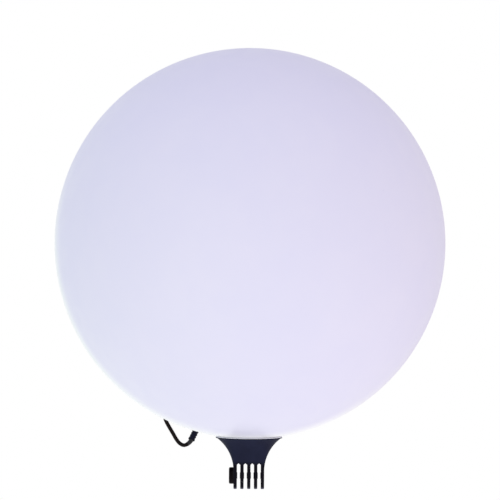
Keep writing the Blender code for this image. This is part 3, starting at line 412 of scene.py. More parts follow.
def moulded_group():
    """Fine spark grain, broad cloudy mottle, and sparse fine rubs, for moulded plastic."""

    def build(tree, given):
        vector, scale = given["Vector"], given["Scale"]
        fine = noise(tree, vector, scale, 3.0, 0.6)
        broad = noise(tree, vector, sums(tree, "MULTIPLY", scale, 0.03), 2.0)
        stretch = node(
            tree, "ShaderNodeMapping",
            {"Vector": vector, "Scale": (6, 0.6, 1.4), "Rotation": (0.4, 0.3, 0.9)},
        )
        rub = noise(tree, stretch.outputs[0], sums(tree, "MULTIPLY", scale, 0.12), 4.0, 0.7)
        return {
            "Height": fine,
            "Mottle": spread(tree, broad, 0.32, 0.68),
            "Rub": spread(tree, rub, 0.62, 0.74),
        }

    return group(
        "moulded surface", [("Vector", "Vector", None), ("Scale", "Float", 900.0)],
        [("Height", "Float"), ("Mottle", "Float"), ("Rub", "Float")], build,
    )


def speck_group():
    """Small round specks: a few cells of a cell pattern are picked by their own
    random value, and each shows a dot of its own size at its middle."""

    def build(tree, given):
        cells = node(tree, "ShaderNodeTexVoronoi", {"Vector": given["Vector"], "Scale": given["Scale"]})
        pick = node(tree, "ShaderNodeSeparateColor", {0: cells.outputs["Color"]})
        size = sums(tree, "MULTIPLY", given["Size"], pick.outputs[1])
        dot = sums(tree, "LESS_THAN", cells.outputs["Distance"], size)
        some = sums(tree, "GREATER_THAN", pick.outputs[0], given["Rarity"])
        return {"Mask": sums(tree, "MULTIPLY", dot, some)}

    return group(
        "specks",
        [
            ("Vector", "Vector", None), ("Scale", "Float", 60.0), ("Size", "Float", 0.08),
            ("Rarity", "Float", 0.7),
        ],
        [("Mask", "Float")], build,
    )


def edge_group():
    """How much an outer edge stands out, broken up so that the rubbing is uneven."""

    def build(tree, given):
        shape = node(tree, "ShaderNodeNewGeometry").outputs["Pointiness"]
        edge = spread(tree, shape, given["Low"], given["High"])
        patchy = spread(tree, noise(tree, given["Vector"], 450.0, 3.0), 0.38, 0.62, 0.25)
        return {"Mask": sums(tree, "MULTIPLY", edge, patchy)}

    return group(
        "rubbed edges", [("Vector", "Vector", None), ("Low", "Float", 0.53), ("High", "Float", 0.60)],
        [("Mask", "Float")], build,
    )


def brushed_group():
    """Fine lines along one direction, and a broad change of tone, for turned metal."""

    def build(tree, given):
        stretch = node(tree, "ShaderNodeMapping", {"Vector": given["Vector"], "Scale": (1.0, 1.0, 14.0)})
        return {
            "Height": noise(tree, stretch.outputs[0], given["Scale"], 2.0, 0.6),
            "Tone": spread(tree, noise(tree, given["Vector"], 160.0, 3.0), 0.35, 0.65),
        }

    return group(
        "turned metal", [("Vector", "Vector", None), ("Scale", "Float", 1200.0)],
        [("Height", "Float"), ("Tone", "Float")], build,
    )


def started(name):
    """A new material, its tree, its Principled shader and its Object coordinates."""
    made = bpy.data.materials.new(name)
    made.use_nodes = True
    tree = made.node_tree
    vector = node(tree, "ShaderNodeTexCoord").outputs["Object"]
    return made, tree, tree.nodes["Principled BSDF"], vector


def joined(tree, shader, colour, roughness, height, depth, strength=1.0):
    """Feeds the shader's colour, roughness and, through a bump, its normal."""
    tree.links.new(colour, shader.inputs["Base Color"])
    tree.links.new(roughness, shader.inputs["Roughness"])
    bump = node(tree, "ShaderNodeBump", {"Height": height, "Distance": depth, "Strength": strength})
    tree.links.new(bump.outputs[0], shader.inputs["Normal"])


def plastic(name, light, dark, rough, scale, depth, wear_and_highlight=None, **plain):
    """Moulded plastic or rubber: two close tones, grained, with rubs and worn edges."""
    made, tree, shader, vector = started(name)
    for label, value in plain.items():
        shader.inputs[label.replace("_", " ")].default_value = value
    surface = node(tree, "ShaderNodeGroup", {"Vector": vector, "Scale": scale}, node_tree=moulded_group())
    colour = blended(tree, surface.outputs["Mottle"], dark, light)
    lifted = tuple(min(1.0, c * 1.25 + 0.004) for c in light)
    colour = blended(tree, sums(tree, "MULTIPLY", surface.outputs["Rub"], 0.35), colour, lifted)
    if wear_and_highlight:
        edges = node(tree, "ShaderNodeGroup", {"Vector": vector}, node_tree=edge_group())
        colour = blended(tree, sums(tree, "MULTIPLY", edges.outputs["Mask"], 0.6), colour, wear_and_highlight)
    roughness = spread(tree, surface.outputs["Mottle"], 0.0, 1.0, *rough)
    roughness = sums(tree, "ADD", roughness, sums(tree, "MULTIPLY", surface.outputs["Rub"], 0.10))
    joined(tree, shader, colour, roughness, surface.outputs["Height"], depth)
    return made


def metal(name, light, dark, rough=(0.22, 0.36), scale=1500.0):
    """Turned or rolled metal: brushed fine lines and a broad change of tone."""
    made, tree, shader, vector = started(name)
    shader.inputs["Metallic"].default_value = 1.0
    surface = node(tree, "ShaderNodeGroup", {"Vector": vector, "Scale": scale}, node_tree=brushed_group())
    colour = blended(tree, surface.outputs["Tone"], dark, light)
    roughness = spread(tree, surface.outputs["Tone"], 0.0, 1.0, *rough[::-1])
    joined(tree, shader, colour, roughness, surface.outputs["Height"], 0.00001)
    return made


def globe_plastic(colour, deep, gloss):
    """Rotation-moulded polyethylene: cloudy on a hand's scale, faintly uneven in its
    gloss, with a few specks. Its colour is painted white where the lower left side turns
    edge-on to the view: painted light standing in for light that comes through the wall."""
    made, tree, shader, vector = started("globe_polyethylene")
    shader.inputs["IOR"].default_value = 1.48
    shader.inputs["Specular IOR Level"].default_value = 0.42
    cloud = spread(tree, noise(tree, vector, 5.0, 2.0), 0.35, 0.65)
    fine = spread(tree, noise(tree, vector, 42.0, 3.0), 0.35, 0.65)
    shade = blended(tree, sums(tree, "MULTIPLY", cloud, 0.30), colour, deep)
    shade = blended(tree, sums(tree, "MULTIPLY", fine, 0.10), shade, deep)
    specks = node(
        tree, "ShaderNodeGroup", {"Vector": vector, "Scale": 46.0, "Size": 0.045, "Rarity": 0.955},
        node_tree=speck_group(),
    )
    dust = tuple(c * 0.72 for c in deep)
    shade = blended(tree, sums(tree, "MULTIPLY", specks.outputs["Mask"], 0.45), shade, dust)
    # Painted light: the base colour goes to white where the lower left side turns edge-on, in place of light
    # through the wall.
    facing = node(tree, "ShaderNodeLayerWeight", {"Blend": 0.5}).outputs["Facing"]
    lit_side = unit((-0.55, 0.0, -0.83))
    along = node(
        tree, "ShaderNodeVectorMath", {0: vector, 1: lit_side / GLOBE_RADIUS}, operation="DOT_PRODUCT",
    ).outputs["Value"]
    middle = float(np.dot(lit_side, GLOBE_CENTRE)) / GLOBE_RADIUS
    lit = spread(tree, along, middle, middle + 0.7)
    thin = sums(tree, "MULTIPLY", spread(tree, facing, 0.74, 0.96), lit)
    shade = blended(tree, thin, shade, (1.0, 1.0, 1.0))
    roughness = spread(tree, fine, 0.0, 1.0, gloss, gloss + 0.07)
    joined(tree, shader, shade, roughness, noise(tree, vector, 260.0, 2.0), 0.00003, 0.6)
    return made


def neck_plastic(colour):
    """The neck's moulding: the bell in a lighter bluish tone, partly its own colour and partly a painted
    sheen, darker fingers below the slots, and tips painted lighter as a painted highlight where light from
    below catches them."""
    made = plastic(
        "neck_moulding", tuple(c * 1.12 for c in colour), tuple(c * 0.88 for c in colour),
        (0.50, 0.60), 1500.0, 0.00003, (0.030, 0.033, 0.055), Specular_IOR_Level=0.03,
    )
    tree = made.node_tree
    shader = tree.nodes["Principled BSDF"]
    plain = shader.inputs["Base Color"].links[0].from_socket
    height = node(
        tree, "ShaderNodeSeparateXYZ", {0: node(tree, "ShaderNodeTexCoord").outputs["Object"]},
    ).outputs["Z"]
    # Painted sheen: the bell keeps the lighter bluish tone, and the fingers below the slots get the
    # near-black.
    lower = blended(tree, spread(tree, height, 0.010, 0.017), (0.007, 0.006, 0.010), plain)
    # Painted highlight: the finger tips are painted lighter and bluer where light from below catches their
    # rounded ends.
    wear_and_highlight = spread(tree, height, -0.0105, -0.0135, 0.0, 0.55)
    tree.links.new(blended(tree, wear_and_highlight, lower, (0.090, 0.092, 0.150)), shader.inputs["Base Color"])
    return made


def board_finish():
    """Circuit board: green lacquer with finer copper lines under it and tinned pads."""
    made, tree, shader, vector = started("circuit_board")
    lines = node(
        tree, "ShaderNodeTexVoronoi", {"Vector": vector, "Scale": 260.0}, feature="DISTANCE_TO_EDGE",
    )
    track = sums(tree, "LESS_THAN", lines.outputs["Distance"], 0.09)
    pads = node(
        tree, "ShaderNodeGroup", {"Vector": vector, "Scale": 300.0, "Size": 0.42, "Rarity": 0.45},
        node_tree=speck_group(),
    )
    colour = blended(tree, track, (0.012, 0.090, 0.035), (0.030, 0.170, 0.070))
    colour = blended(tree, pads.outputs["Mask"], colour, (0.62, 0.60, 0.55))
    tree.links.new(pads.outputs["Mask"], shader.inputs["Metallic"])
    roughness = spread(tree, pads.outputs["Mask"], 0.0, 1.0, 0.38, 0.30)
    joined(tree, shader, colour, roughness, track, 0.00004)
    return made


def make_finishes(look):
    """Every finish of the object by the record's name for its slot."""
    deep = tuple(look.neck_colour)
    return {
        "neck_moulding": neck_plastic(deep),
        "globe": globe_plastic(tuple(look.globe_colour), tuple(look.globe_shade), look.globe_roughness),
        "black_moulding": plastic(
            "black_moulding", tuple(c * 0.66 for c in deep), tuple(c * 0.50 for c in deep),
            (0.46, 0.56), 1500.0, 0.00003, (0.050, 0.055, 0.085), Specular_IOR_Level=0.08,
        ),
        "pod_moulding": plastic(
            "pod_moulding", (0.027, 0.028, 0.033), (0.019, 0.020, 0.024), (0.44, 0.56), 1100.0,
            0.00006, (0.070, 0.070, 0.076),
        ),
        "nut_cap": plastic(
            "nut_cap_moulding", (0.010, 0.006, 0.008), (0.005, 0.003, 0.004), (0.40, 0.50), 1500.0,
            0.00003, (0.030, 0.025, 0.027), Specular_IOR_Level=0.03,
        ),
        "silicone": plastic(
            "clear_silicone", (0.86, 0.86, 0.90), (0.78, 0.78, 0.83), (0.40, 0.52), 900.0, 0.00003,
        ),
        "black_rubber": plastic(
            "black_rubber", (0.022, 0.022, 0.024), (0.012, 0.012, 0.014), (0.60, 0.76), 1300.0,
            0.00005, (0.050, 0.050, 0.052),
        ),
        "button_rubber": plastic(
            "button_rubber", (0.060, 0.064, 0.074), (0.046, 0.049, 0.058), (0.52, 0.66), 1200.0,
            0.00005, (0.120, 0.125, 0.135),
        ),
        "lead_jacket": plastic(
            "lead_jacket", (0.012, 0.008, 0.007), (0.005, 0.004, 0.004), (0.38, 0.50), 1700.0,
            0.00003, Specular_IOR_Level=0.05,
        ),
        "wire_jacket": plastic(
            "wire_jacket", (0.030, 0.028, 0.028), (0.020, 0.018, 0.018), (0.38, 0.50), 1700.0, 0.00003,
        ),
        "steel": metal("stainless_steel", (0.62, 0.62, 0.64), (0.48, 0.48, 0.51)),
        "nickel_plate": metal("nickel_plate", (0.68, 0.64, 0.55), (0.54, 0.50, 0.42), (0.18, 0.30)),
        "aluminium": metal("aluminium", (0.76, 0.77, 0.79), (0.62, 0.63, 0.66), (0.34, 0.48), 900.0),
        "white_board": plastic(
            "white_board", (0.84, 0.84, 0.82), (0.74, 0.75, 0.73), (0.34, 0.44), 700.0, 0.00002,
        ),
        "circuit_board": board_finish(),
        "opal_dome": plastic(
            "opal_dome", (0.88, 0.88, 0.87), (0.80, 0.80, 0.80), (0.26, 0.36), 500.0, 0.00002,
            Subsurface_Weight=0.2, Subsurface_Scale=0.004,
        ),
        "white_plastic": plastic(
            "white_plastic", (0.80, 0.80, 0.77), (0.70, 0.70, 0.68), (0.40, 0.52), 1200.0, 0.00004,
        ),
        "led_phosphor": plastic(
            "led_phosphor", (0.90, 0.74, 0.24), (0.78, 0.60, 0.16), (0.30, 0.42), 1800.0, 0.00003,
        ),
        "cell_sleeve": plastic(
            "cell_sleeve", (0.055, 0.190, 0.430), (0.035, 0.130, 0.330), (0.22, 0.34), 300.0, 0.00006,
        ),
        "status_window": plastic(
            "status_window", (0.34, 0.66, 0.40), (0.24, 0.52, 0.30), (0.08, 0.16), 900.0, 0.00001,
            Coat_Weight=0.6, Coat_Roughness=0.05,
        ),
    }


# Stage -----------------------------------------------------------------------


def turned_to(origin, target):
    """Euler angles that point an object's -Z from one place to another."""
    from mathutils import Vector

    return (Vector(target) - Vector(origin)).to_track_quat("-Z", "Y").to_euler()


def make_camera(stage):
    """Level with the ball's middle, in front of it, with a long lens."""
    camera = bpy.data.objects.new("camera", bpy.data.cameras.new("camera"))
    bpy.context.scene.collection.objects.link(camera)
    camera.location = (0, -stage.distance, GLOBE_CENTRE[2])
    camera.rotation_euler = (math.pi / 2, stage.roll, 0)
    camera.data.sensor_width = 36
    camera.data.lens = 36 * stage.distance / stage.field
    camera.data.shift_y = stage.rise / stage.field
    bpy.context.scene.camera = camera


SOFT_LIGHTS = (  # direction, the cosine to it where the patch starts, strength at its middle
    ((0, 0, 1), 0.0, 0.080),
    ((0, 0, -1), 0.0, 0.270),
    ((0, -1, 0), 0.0, 0.217),
    ((-1, 0, 0), 0.0, 0.090),
    ((1, 0, 0), 0.0, 0.020),
    ((0, -0.8, -0.6), 0.3, 0.104),
    ((0.7, -0.1, -0.7), 0.3, 0.149),
    ((0, 0.8, -0.6), 0.2, 0.117),
    ((-0.5, 0.8, -0.3), 0.7, 0.100),
    ((-0.5, 0.8, 0.3), 0.7, 0.038),
    ((0, 0.9, -0.35), 0.75, 0.062),
)


def make_world(stage):
    """White where the camera looks straight at it. As a light it is even all round,
    with soft broad patches added, cooler from the left, warmer from the right and
    bluer from above."""
    world = bpy.data.worlds.new("studio")
    bpy.context.scene.world = world
    world.use_nodes = True
    tree = world.node_tree
    tree.nodes.clear()
    way = node(tree, "ShaderNodeTexCoord").outputs["Generated"]

    def towards(direction, start, full=1.0):
        share = node(
            tree, "ShaderNodeVectorMath", {0: way, 1: unit(direction)}, operation="DOT_PRODUCT",
        )
        return spread(tree, share.outputs["Value"], start, 1.0, 0.0, full)

    level = stage.fill
    for direction, start, strength in SOFT_LIGHTS:
        level = sums(tree, "ADD", level, towards(direction, start, strength))
    tint = blended(tree, towards((1, 0, 0), -1.0), tuple(stage.left_tint), tuple(stage.right_tint))
    tint = blended(tree, towards((0, 0, 1), 0.1), tint, tuple(stage.top_tint))
    soft = node(tree, "ShaderNodeBackground", {"Color": tint, "Strength": level})
    plain = node(tree, "ShaderNodeBackground", {"Color": (1, 1, 1, 1), "Strength": 1.0})
    seen = node(tree, "ShaderNodeLightPath").outputs["Is Camera Ray"]
    mixed = node(tree, "ShaderNodeMixShader", {0: seen, 1: soft.outputs[0], 2: plain.outputs[0]})
    output = tree.nodes.new("ShaderNodeOutputWorld")
    tree.links.new(mixed.outputs[0], output.inputs["Surface"])


def make_light(name, origin, size, power, target):
    """A round soft light that faces the target."""
    light = bpy.data.lights.new(name, "AREA")
    light.shape, light.size, light.energy = "DISK", size, power
    made = bpy.data.objects.new(name, light)
    bpy.context.scene.collection.objects.link(made)
    made.location = origin
    made.rotation_euler = turned_to(origin, target)
    made.visible_camera = False


def make_floor(stage):
    """A flat pale disc that lets the camera through from below."""
    made, tree, shader, vector = started("pale_floor")
    cloud = noise(tree, vector, 3.0, 3.0)
    pale = tuple(stage.floor_colour)
    colour = blended(tree, cloud, pale, tuple(c * 0.97 for c in pale))
    roughness = spread(tree, cloud, 0.3, 0.7, 0.75, 0.85)
    joined(tree, shader, colour, roughness, noise(tree, vector, 400.0), 0.0001)
    behind = node(tree, "ShaderNodeNewGeometry").outputs["Backfacing"]
    clear = node(tree, "ShaderNodeBsdfTransparent")
    mixed = node(tree, "ShaderNodeMixShader", {0: behind, 1: shader.outputs[0], 2: clear.outputs[0]})
    tree.links.new(mixed.outputs[0], tree.nodes["Material Output"].inputs["Surface"])
    radius = np.linspace(0, 1, 24) * stage.floor_radius
    profile = np.stack([radius, stage.floor_height + 0 * radius], axis=1)
    floor = skin("floor", [spun(profile, WORLD, 96)], made)
    if floor.data.polygons[0].normal.z < 0:
        floor.data.flip_normals()
    floor.visible_diffuse = floor.visible_glossy = False


# Lead, plug and coupling nut -------------------------------------------------


def lead_line():
    """The whole centreline of the lead, from the gland nut's face into the plug."""
    return smooth_route(np.array(LEAD_ROUTE) + GLOBE_CENTRE, 1200, GLAND_AXIS, PLUG_AXIS)


def ribbed_radii(count, thin, thick, ribs, groove):
    """Evenly growing radii, cut by round-bottomed grooves between the ribs."""
    t = np.linspace(0, 1, count)
    wave = (0.5 - 0.5 * np.cos(FULL * ribs * t)) ** 3
    return thin + (thick - thin) * t - groove * wave * (t > 0.5 / ribs)


def fluted(profile, at, steps, flutes, depth, low, high):
    """A turned shape whose outside is fluted: between two heights the radius drops by
    a half-sine as the angle goes round, once for each flute."""
    grid = spun(profile, WORLD, steps)
    angle = np.arange(steps) * FULL / steps
    height = grid[..., 2]
    inside = np.clip((height - low) / 0.0006, 0, 1) * np.clip((high - height) / 0.0006, 0, 1)
    outer = np.linalg.norm(grid[..., :2], axis=-1) > 0.85 * np.max(profile[:, 0])
    cut = depth * np.abs(np.sin(flutes * angle / 2)) ** 3 * inside * outer
    grid[..., :2] *= (1 - cut / np.max(profile[:, 0]))[..., None]
    return place(grid, at)


def plug_profile(grooves):
    """Grip, flange and shank of the plug, from the shank's end back to the lead."""
    shank, grip, groove, flange = 0.0025, 0.0034, 0.0029, 0.0036
    front, shoulder, back = 0.0240, 0.0140, 0.0003
    brow, floor = 0.00085, 0.00045  # half widths of a groove at its top and its bottom
    corners = [(0, front), (shank, front, 0.0003), (shank, shoulder), (grip, shoulder, 0.0005)]
    for middle in grooves:
        corners += [(grip, middle + brow, 0.0002), (groove, middle + floor, 0.0002)]
        corners += [(groove, middle - floor, 0.0002), (grip, middle - brow, 0.0002)]
    flange_front = back + 0.0010
    return corners + [
        (grip, 0.0015, 0.0001), (flange, flange_front, 0.0001), (flange, back, 0.0004), (0, back),
    ]


def make_lead(finishes, knobs):
    """The jacket, the relief, the plug and the coupling nut. The tubes' first and last
    circles are a little smaller, so that their ends are soft."""
    line = lead_line()
    length = distances(line)[-1]
    lead_path = even_line(line, 260, 0.0, length - RELIEF_LENGTH - 2 * GAP)
    radii = np.full(len(lead_path), LEAD_RADIUS)
    radii[[0, -1]] -= LEAD_RADIUS * 0.12
    lead = skin("lead", [swept(lead_path, radii, 40)], finishes["lead_jacket"])
    relief_path = even_line(line, 200, length - RELIEF_LENGTH, length)
    relief_radii = ribbed_radii(200, *RELIEF_RADII, knobs.relief_ribs, 0.00035)
    relief_radii[[0, -1]] -= 0.0002
    relief = skin("lead_relief", [swept(relief_path, relief_radii, 40)], finishes["black_rubber"])
    plug = skin(
        "plug", [spun(rounded(plug_profile((0.0092, 0.0062, 0.0032)), 5), AT_PLUG, 64)],
        finishes["black_moulding"],
    )
    bore, outer, mouth = 0.0028, 0.0046, 0.0039
    back, front, seat = 0.0143, 0.0290, 0.0240
    nut_profile = rounded([
        (bore, back), (outer, back, 0.0006), (outer, 0.0180, 0.00001), (outer, 0.0250, 0.00001),
        (outer, front, 0.0006), (mouth, front, 0.0002), (mouth, seat), (bore, seat),
    ], 5)
    closed = np.concatenate([nut_profile, nut_profile[:1]])
    ahead = closed[1:] - closed[:-1]
    fine = np.concatenate([closed[:-1] + ahead * t for t in (0.0, 0.34, 0.67)], axis=1)
    nut = skin(
        "coupling_ring",
        [(fluted(fine.reshape(-1, 2), AT_PLUG, 240, knobs.coupling_flutes, 0.00045, 0.0150, 0.0283), True)],
        finishes["black_moulding"],
    )
    stands_for(lead, "power_lead")
    stands_for(relief, "strain_relief")
    stands_for(plug, "plug_body")
    stands_for(nut, "coupling_nut", "coupling_nut")


# Ball ------------------------------------------------------------------------


def arc(radius, start, end, count):
    """A profile on a circle about the frame's origin, at even angles from its +Z."""
    angle = np.linspace(start, end, count)
    return np.stack([radius * np.sin(angle), radius * np.cos(angle)], axis=1)


def make_globe(finishes, knobs):
    """The ball: two spheres a wall apart, joined round the neck's hole, and a round
    hole bored behind for the battery pod."""
    inner = GLOBE_RADIUS - knobs.wall
    hole = SPIGOT_RADIUS + GAP
    outside = arc(GLOBE_RADIUS, 0, math.pi - math.asin(hole / GLOBE_RADIUS), knobs.rings)
    inside = arc(inner, math.pi - math.asin(hole / inner), 0, knobs.rings // 2)
    ball = spun(np.concatenate([outside, inside]), AT_GLOBE, 2 * knobs.rings)
    globe = skin("globe", [ball], finishes["globe"])
    tool = skin("tool_pod_hole", [spun(rod(POD_HOLE_RADIUS, 0.17, 0.215), AT_POD, 96)], None)
    settle(globe, "DIFFERENCE", [tool])
    stands_for(globe, "globe_shell")


# Neck and knuckle ------------------------------------------------------------


def section(height, edge):
    """Half width, half depth and corner radius of the neck at heights over the pivot:
    the side follows a concave arc, and depth and corner grow with it in proportion."""
    rise = np.clip(height - FLARE_START, 0, 0.99 * FLARE_RADIUS)
    width = HALF_WIDTH + FLARE_RADIUS - np.sqrt(FLARE_RADIUS**2 - rise**2)
    share = np.clip((width - HALF_WIDTH) / (RIM_RADIUS - HALF_WIDTH), 0, 1)
    depth = HALF_DEPTH + share * (RIM_RADIUS - HALF_DEPTH)
    corner = edge + share * (RIM_RADIUS - edge)
    return np.minimum(width, RIM_RADIUS), depth, corner


def outlines(width, depth, corner, height):
    """Level rectangles with round corners, one for each height."""
    per_corner = 20
    quarter = np.arange(4)[:, None]
    angle = (np.linspace(0, math.pi / 2, per_corner)[None, :] + quarter * math.pi / 2).reshape(-1)
    side = np.repeat([1, -1, -1, 1], per_corner)
    end = np.repeat([1, 1, -1, -1], per_corner)
    width, depth, corner, height = (np.asarray(v, float)[:, None] for v in (width, depth, corner, height))
    x = side * (width - corner) + corner * np.cos(angle)
    y = end * (depth - corner) + corner * np.sin(angle)
    return np.stack([x, y, height + 0 * x], axis=-1)


def bell_grid(base, edge):
    """The bell from just over the slots to its rim, its hollow seat, the spigot and
    the blind bore down its middle, as one column of outlines from pole to pole."""
    rim_edge = 0.0006

    def seat(radius):
        return GLOBE_CENTRE[2] - np.sqrt(SEAT_RADIUS**2 - radius**2)

    rim = float(seat(RIM_RADIUS - rim_edge))
    height = np.linspace(base, rim - rim_edge, 60)
    width, depth, corner = section(height, edge)
    small = np.array([1e-5, 0.5])
    floor = outlines(width[0] * small, depth[0] * small, corner[0] * small, [base, base])
    side = outlines(width, depth, corner, height)
    bend = np.linspace(0.15, math.pi / 2, 7)
    round_edge = RIM_RADIUS - rim_edge * (1 - np.cos(bend))
    hollow = np.linspace(RIM_RADIUS - rim_edge, SPIGOT_RADIUS, 12)[1:]
    radii = np.concatenate([
        round_edge, hollow,
        [SPIGOT_RADIUS, SPIGOT_RADIUS - 0.0004, SPIGOT_BORE + 0.0002, SPIGOT_BORE, SPIGOT_BORE, 0.0],
    ])
    levels = np.concatenate([
        rim - rim_edge + rim_edge * np.sin(bend), seat(hollow),
        [SPIGOT_TOP - 0.0004, SPIGOT_TOP, SPIGOT_TOP, SPIGOT_TOP - 0.0002, WELL_FLOOR, WELL_FLOOR],
    ])
    return np.concatenate([floor, side, outlines(radii, radii, radii, levels)])


def finger_grid(centre, edge, base):
    """One finger as a ring of rows round its bore: a row is a loop in the plate's own
    plane, from the bore out to the edge on one face and back on the other. The
    plate's half thickness grows near the top so that the gaps end in a half round;
    it drops by a quarter circle towards the edge, and steps for collar and recess."""
    columns = 144
    gap = (FINGER_PITCH - FINGER_THICKNESS) / 2
    top = base + 0.0014
    angle = (np.arange(columns) + 0.5) * FULL / columns
    cos, sin = np.abs(np.cos(angle)), np.sin(angle)
    reach = np.full(columns, HALF_DEPTH)
    for _ in range(12):
        reach = np.where(sin > 0, section(reach * sin, edge)[1] / np.maximum(cos, 0.05), HALF_DEPTH)
    reach = np.where(sin > 0, np.minimum(reach, top / np.maximum(sin, 0.01)), reach)
    recess = NUT_CAP_RADIUS + GAP
    inner = np.array([BORE_RADIUS, COLLAR_RADIUS - 0.0002, COLLAR_RADIUS, COLLAR_RADIUS])[:, None]
    lift = np.array([1.0, 1.0, 0.6, 0.0])
    near = np.linspace(COLLAR_RADIUS, recess, 12)[1:, None]
    far = 1 - edge / HALF_DEPTH
    share = np.linspace(0, 1, 18)[:, None]
    middle = recess + share * (reach * far - recess)
    bend = np.linspace(math.pi / 2, 0, 8)[1:, None]
    rim = reach * (1 - edge * (1 - np.cos(bend)) / HALF_DEPTH)
    rho = np.concatenate([inner + 0 * reach, near + 0 * reach, middle, rim])
    collar = np.concatenate([lift, np.zeros(len(rho) - len(lift))])[:, None]
    sunk = (np.arange(len(rho)) < len(inner) + len(near))[:, None]
    y, z = rho * np.cos(angle), rho * np.sin(angle)
    inset = HALF_DEPTH * (1 - rho / reach)
    width, _, corner = section(z, edge)
    under = 0.0001 * np.clip((z - base) / 0.0002 + 1, 0, 1)
    y = y * (1 - under / HALF_DEPTH)

    def half(side):
        outer = abs(centre + side * FINGER_PITCH) > HALF_WIDTH
        if outer:
            plate = width - abs(centre) - under - (0.0005 * sunk if side < 0 else 0)
            bent = corner
        else:
            arch = np.clip(z - (SLOT_TOP - gap), 0, gap)
            plate = FINGER_PITCH / 2 + 0.00003 - (gap**3 - arch**3) ** (1 / 3)
            plate = plate + COLLAR_HEIGHT * collar
            bent = edge * np.clip((SLOT_TOP - z) / gap, 0.02, 1)
        left = np.clip(bent - inset, 0, bent)
        return plate - (bent - np.sqrt(bent**2 - left**2))

    low = np.stack([centre - half(-1), y, z], axis=-1)
    high = np.stack([centre + half(1), y, z], axis=-1)
    return np.concatenate([low, high[::-1]])


def make_neck(finishes, knobs):
    """The bell joined to its five fingers, the turned cap of the pivot's nut with its
    hexagonal pocket, and the seal, a ring between two spheres about the globe's centre."""
    base = SLOT_TOP + 0.0002
    neck = skin("neck_moulding", [bell_grid(base, knobs.edge)], finishes["neck_moulding"])
    places = (np.arange(FINGER_COUNT) - (FINGER_COUNT - 1) / 2) * FINGER_PITCH
    fingers = [
        skin(f"tool_finger_{i}", [(finger_grid(x, knobs.edge, base), True)], None)
        for i, x in enumerate(places)
    ]
    settle(neck, "UNION", fingers, 32)
    stands_for(neck, "neck")
    corners = [
        (0, 0.0201), (0.0050, 0.0201, 0.0002), (0.0055, 0.0204, 0.0003),
        (NUT_CAP_RADIUS, -NUT_CAP_OUTER, 0.0016), (NUT_CAP_RADIUS, -NUT_CAP_INNER), (0, -NUT_CAP_INNER),
    ]
    cap = skin("nut_cap", [spun(rounded(corners, 8), AT_NUT, 96)], finishes["nut_cap"])
    pocket_radius, pocket_start, pocket_end = 0.00497, 0.0152, 0.0198
    pocket_shape = rod(pocket_radius, pocket_start, pocket_end)
    pocket = skin("tool_nut_pocket", [spun(pocket_shape, AT_NUT, 6)], None)
    settle(cap, "DIFFERENCE", [pocket])
    stands_for(cap, "pivot_nut_cap")
    outer, inner = RIM_RADIUS - 0.0005, SPIGOT_RADIUS + GAP
    seal_far, seal_near = 0.2012, 0.2003  # from the globe's centre
    radii = np.linspace(outer, inner, 12)
    below = np.stack([radii, -np.sqrt(seal_far**2 - radii**2)], axis=1)
    above = np.stack([radii[::-1], -np.sqrt(seal_near**2 - radii[::-1] ** 2)], axis=1)
    lip = [(outer + 0.0003, (below[0, 1] + above[-1, 1]) / 2)]
    ring = spun(np.concatenate([below, above, lip]), AT_GLOBE, 128)
    gasket = skin("neck_seal", [(ring, True)], finishes["silicone"])
    stands_for(gasket, "neck_gasket")


# Rear cap and its fittings ---------------------------------------------------

PLATE_RINGS = (0.0088, 0.0096, 0.0130, 0.0200, 0.0270, 0.0340, 0.0388)


def screw_places():
    """Where the screws stand on their ring, half a step on from the frame's own X."""
    angle = (np.arange(SCREW_COUNT) + 0.5) * FULL / SCREW_COUNT
    return np.stack([SCREW_RING * np.cos(angle), SCREW_RING * np.sin(angle)], axis=1)


def cap_profile(edge, groove):
    """Plate with a soft edge and one fine groove, skirt, seal rebate and inner bore.
    Rings on the flat plate keep the wear at its edges from spreading over it."""
    rings = [(radius, CAP_TOP) for radius in PLATE_RINGS]
    skirt_end, skirt_bore = 0.1950, 0.0470
    seal_bore, seal_low, seal_high = 0.0430, 0.20069, 0.20259
    bore = 0.0410
    return rounded([
        (0, CAP_TOP), *rings, (0.0400, CAP_TOP, 0.0003), (0.0403, CAP_TOP - groove, 0.0002),
        (0.0408, CAP_TOP - groove, 0.0002), (0.0411, CAP_TOP, 0.0003), (CAP_RADIUS, CAP_TOP, edge),
        (CAP_RADIUS, skirt_end, 0.0004), (skirt_bore, skirt_end), (skirt_bore, seal_low),
        (seal_bore, seal_low), (seal_bore, seal_high), (bore, seal_high), (bore, CAP_UNDER), (0, CAP_UNDER),
    ], 7)


def cross_screw(at, knobs):
    """A pan head with a cross recess: where either distance to the two middle planes
    is small, inside the recess's radius, the top drops by the recess's depth."""
    seat = CAP_TOP - COUNTERBORE + GAP
    top = seat + 0.0022
    shank, end, crowning, recess = 0.0014, 0.19729, 0.0006, 0.0009
    radius = np.linspace(0, 1, 26) ** 0.9 * (SCREW_HEAD - 0.0002)
    crown = np.stack([radius, top - crowning * (radius / SCREW_HEAD) ** 2], axis=1)
    side = [(SCREW_HEAD, top - 0.0010), (SCREW_HEAD, seat), (shank, seat), (shank, end), (0, end)]
    grid = spun(np.concatenate([crown, side]), WORLD, 96)
    across = np.abs(grid[..., :2])
    slot = np.clip((knobs.recess_width / 2 - across.min(axis=-1)) / 0.0001 + 0.5, 0, 1)
    inside = np.clip((knobs.recess_radius - across.max(axis=-1)) / 0.0002 + 0.5, 0, 1)
    on_top = np.arange(grid.shape[0])[:, None] < len(crown)
    grid[..., 2] -= recess * slot * inside * on_top
    return place(grid, at)


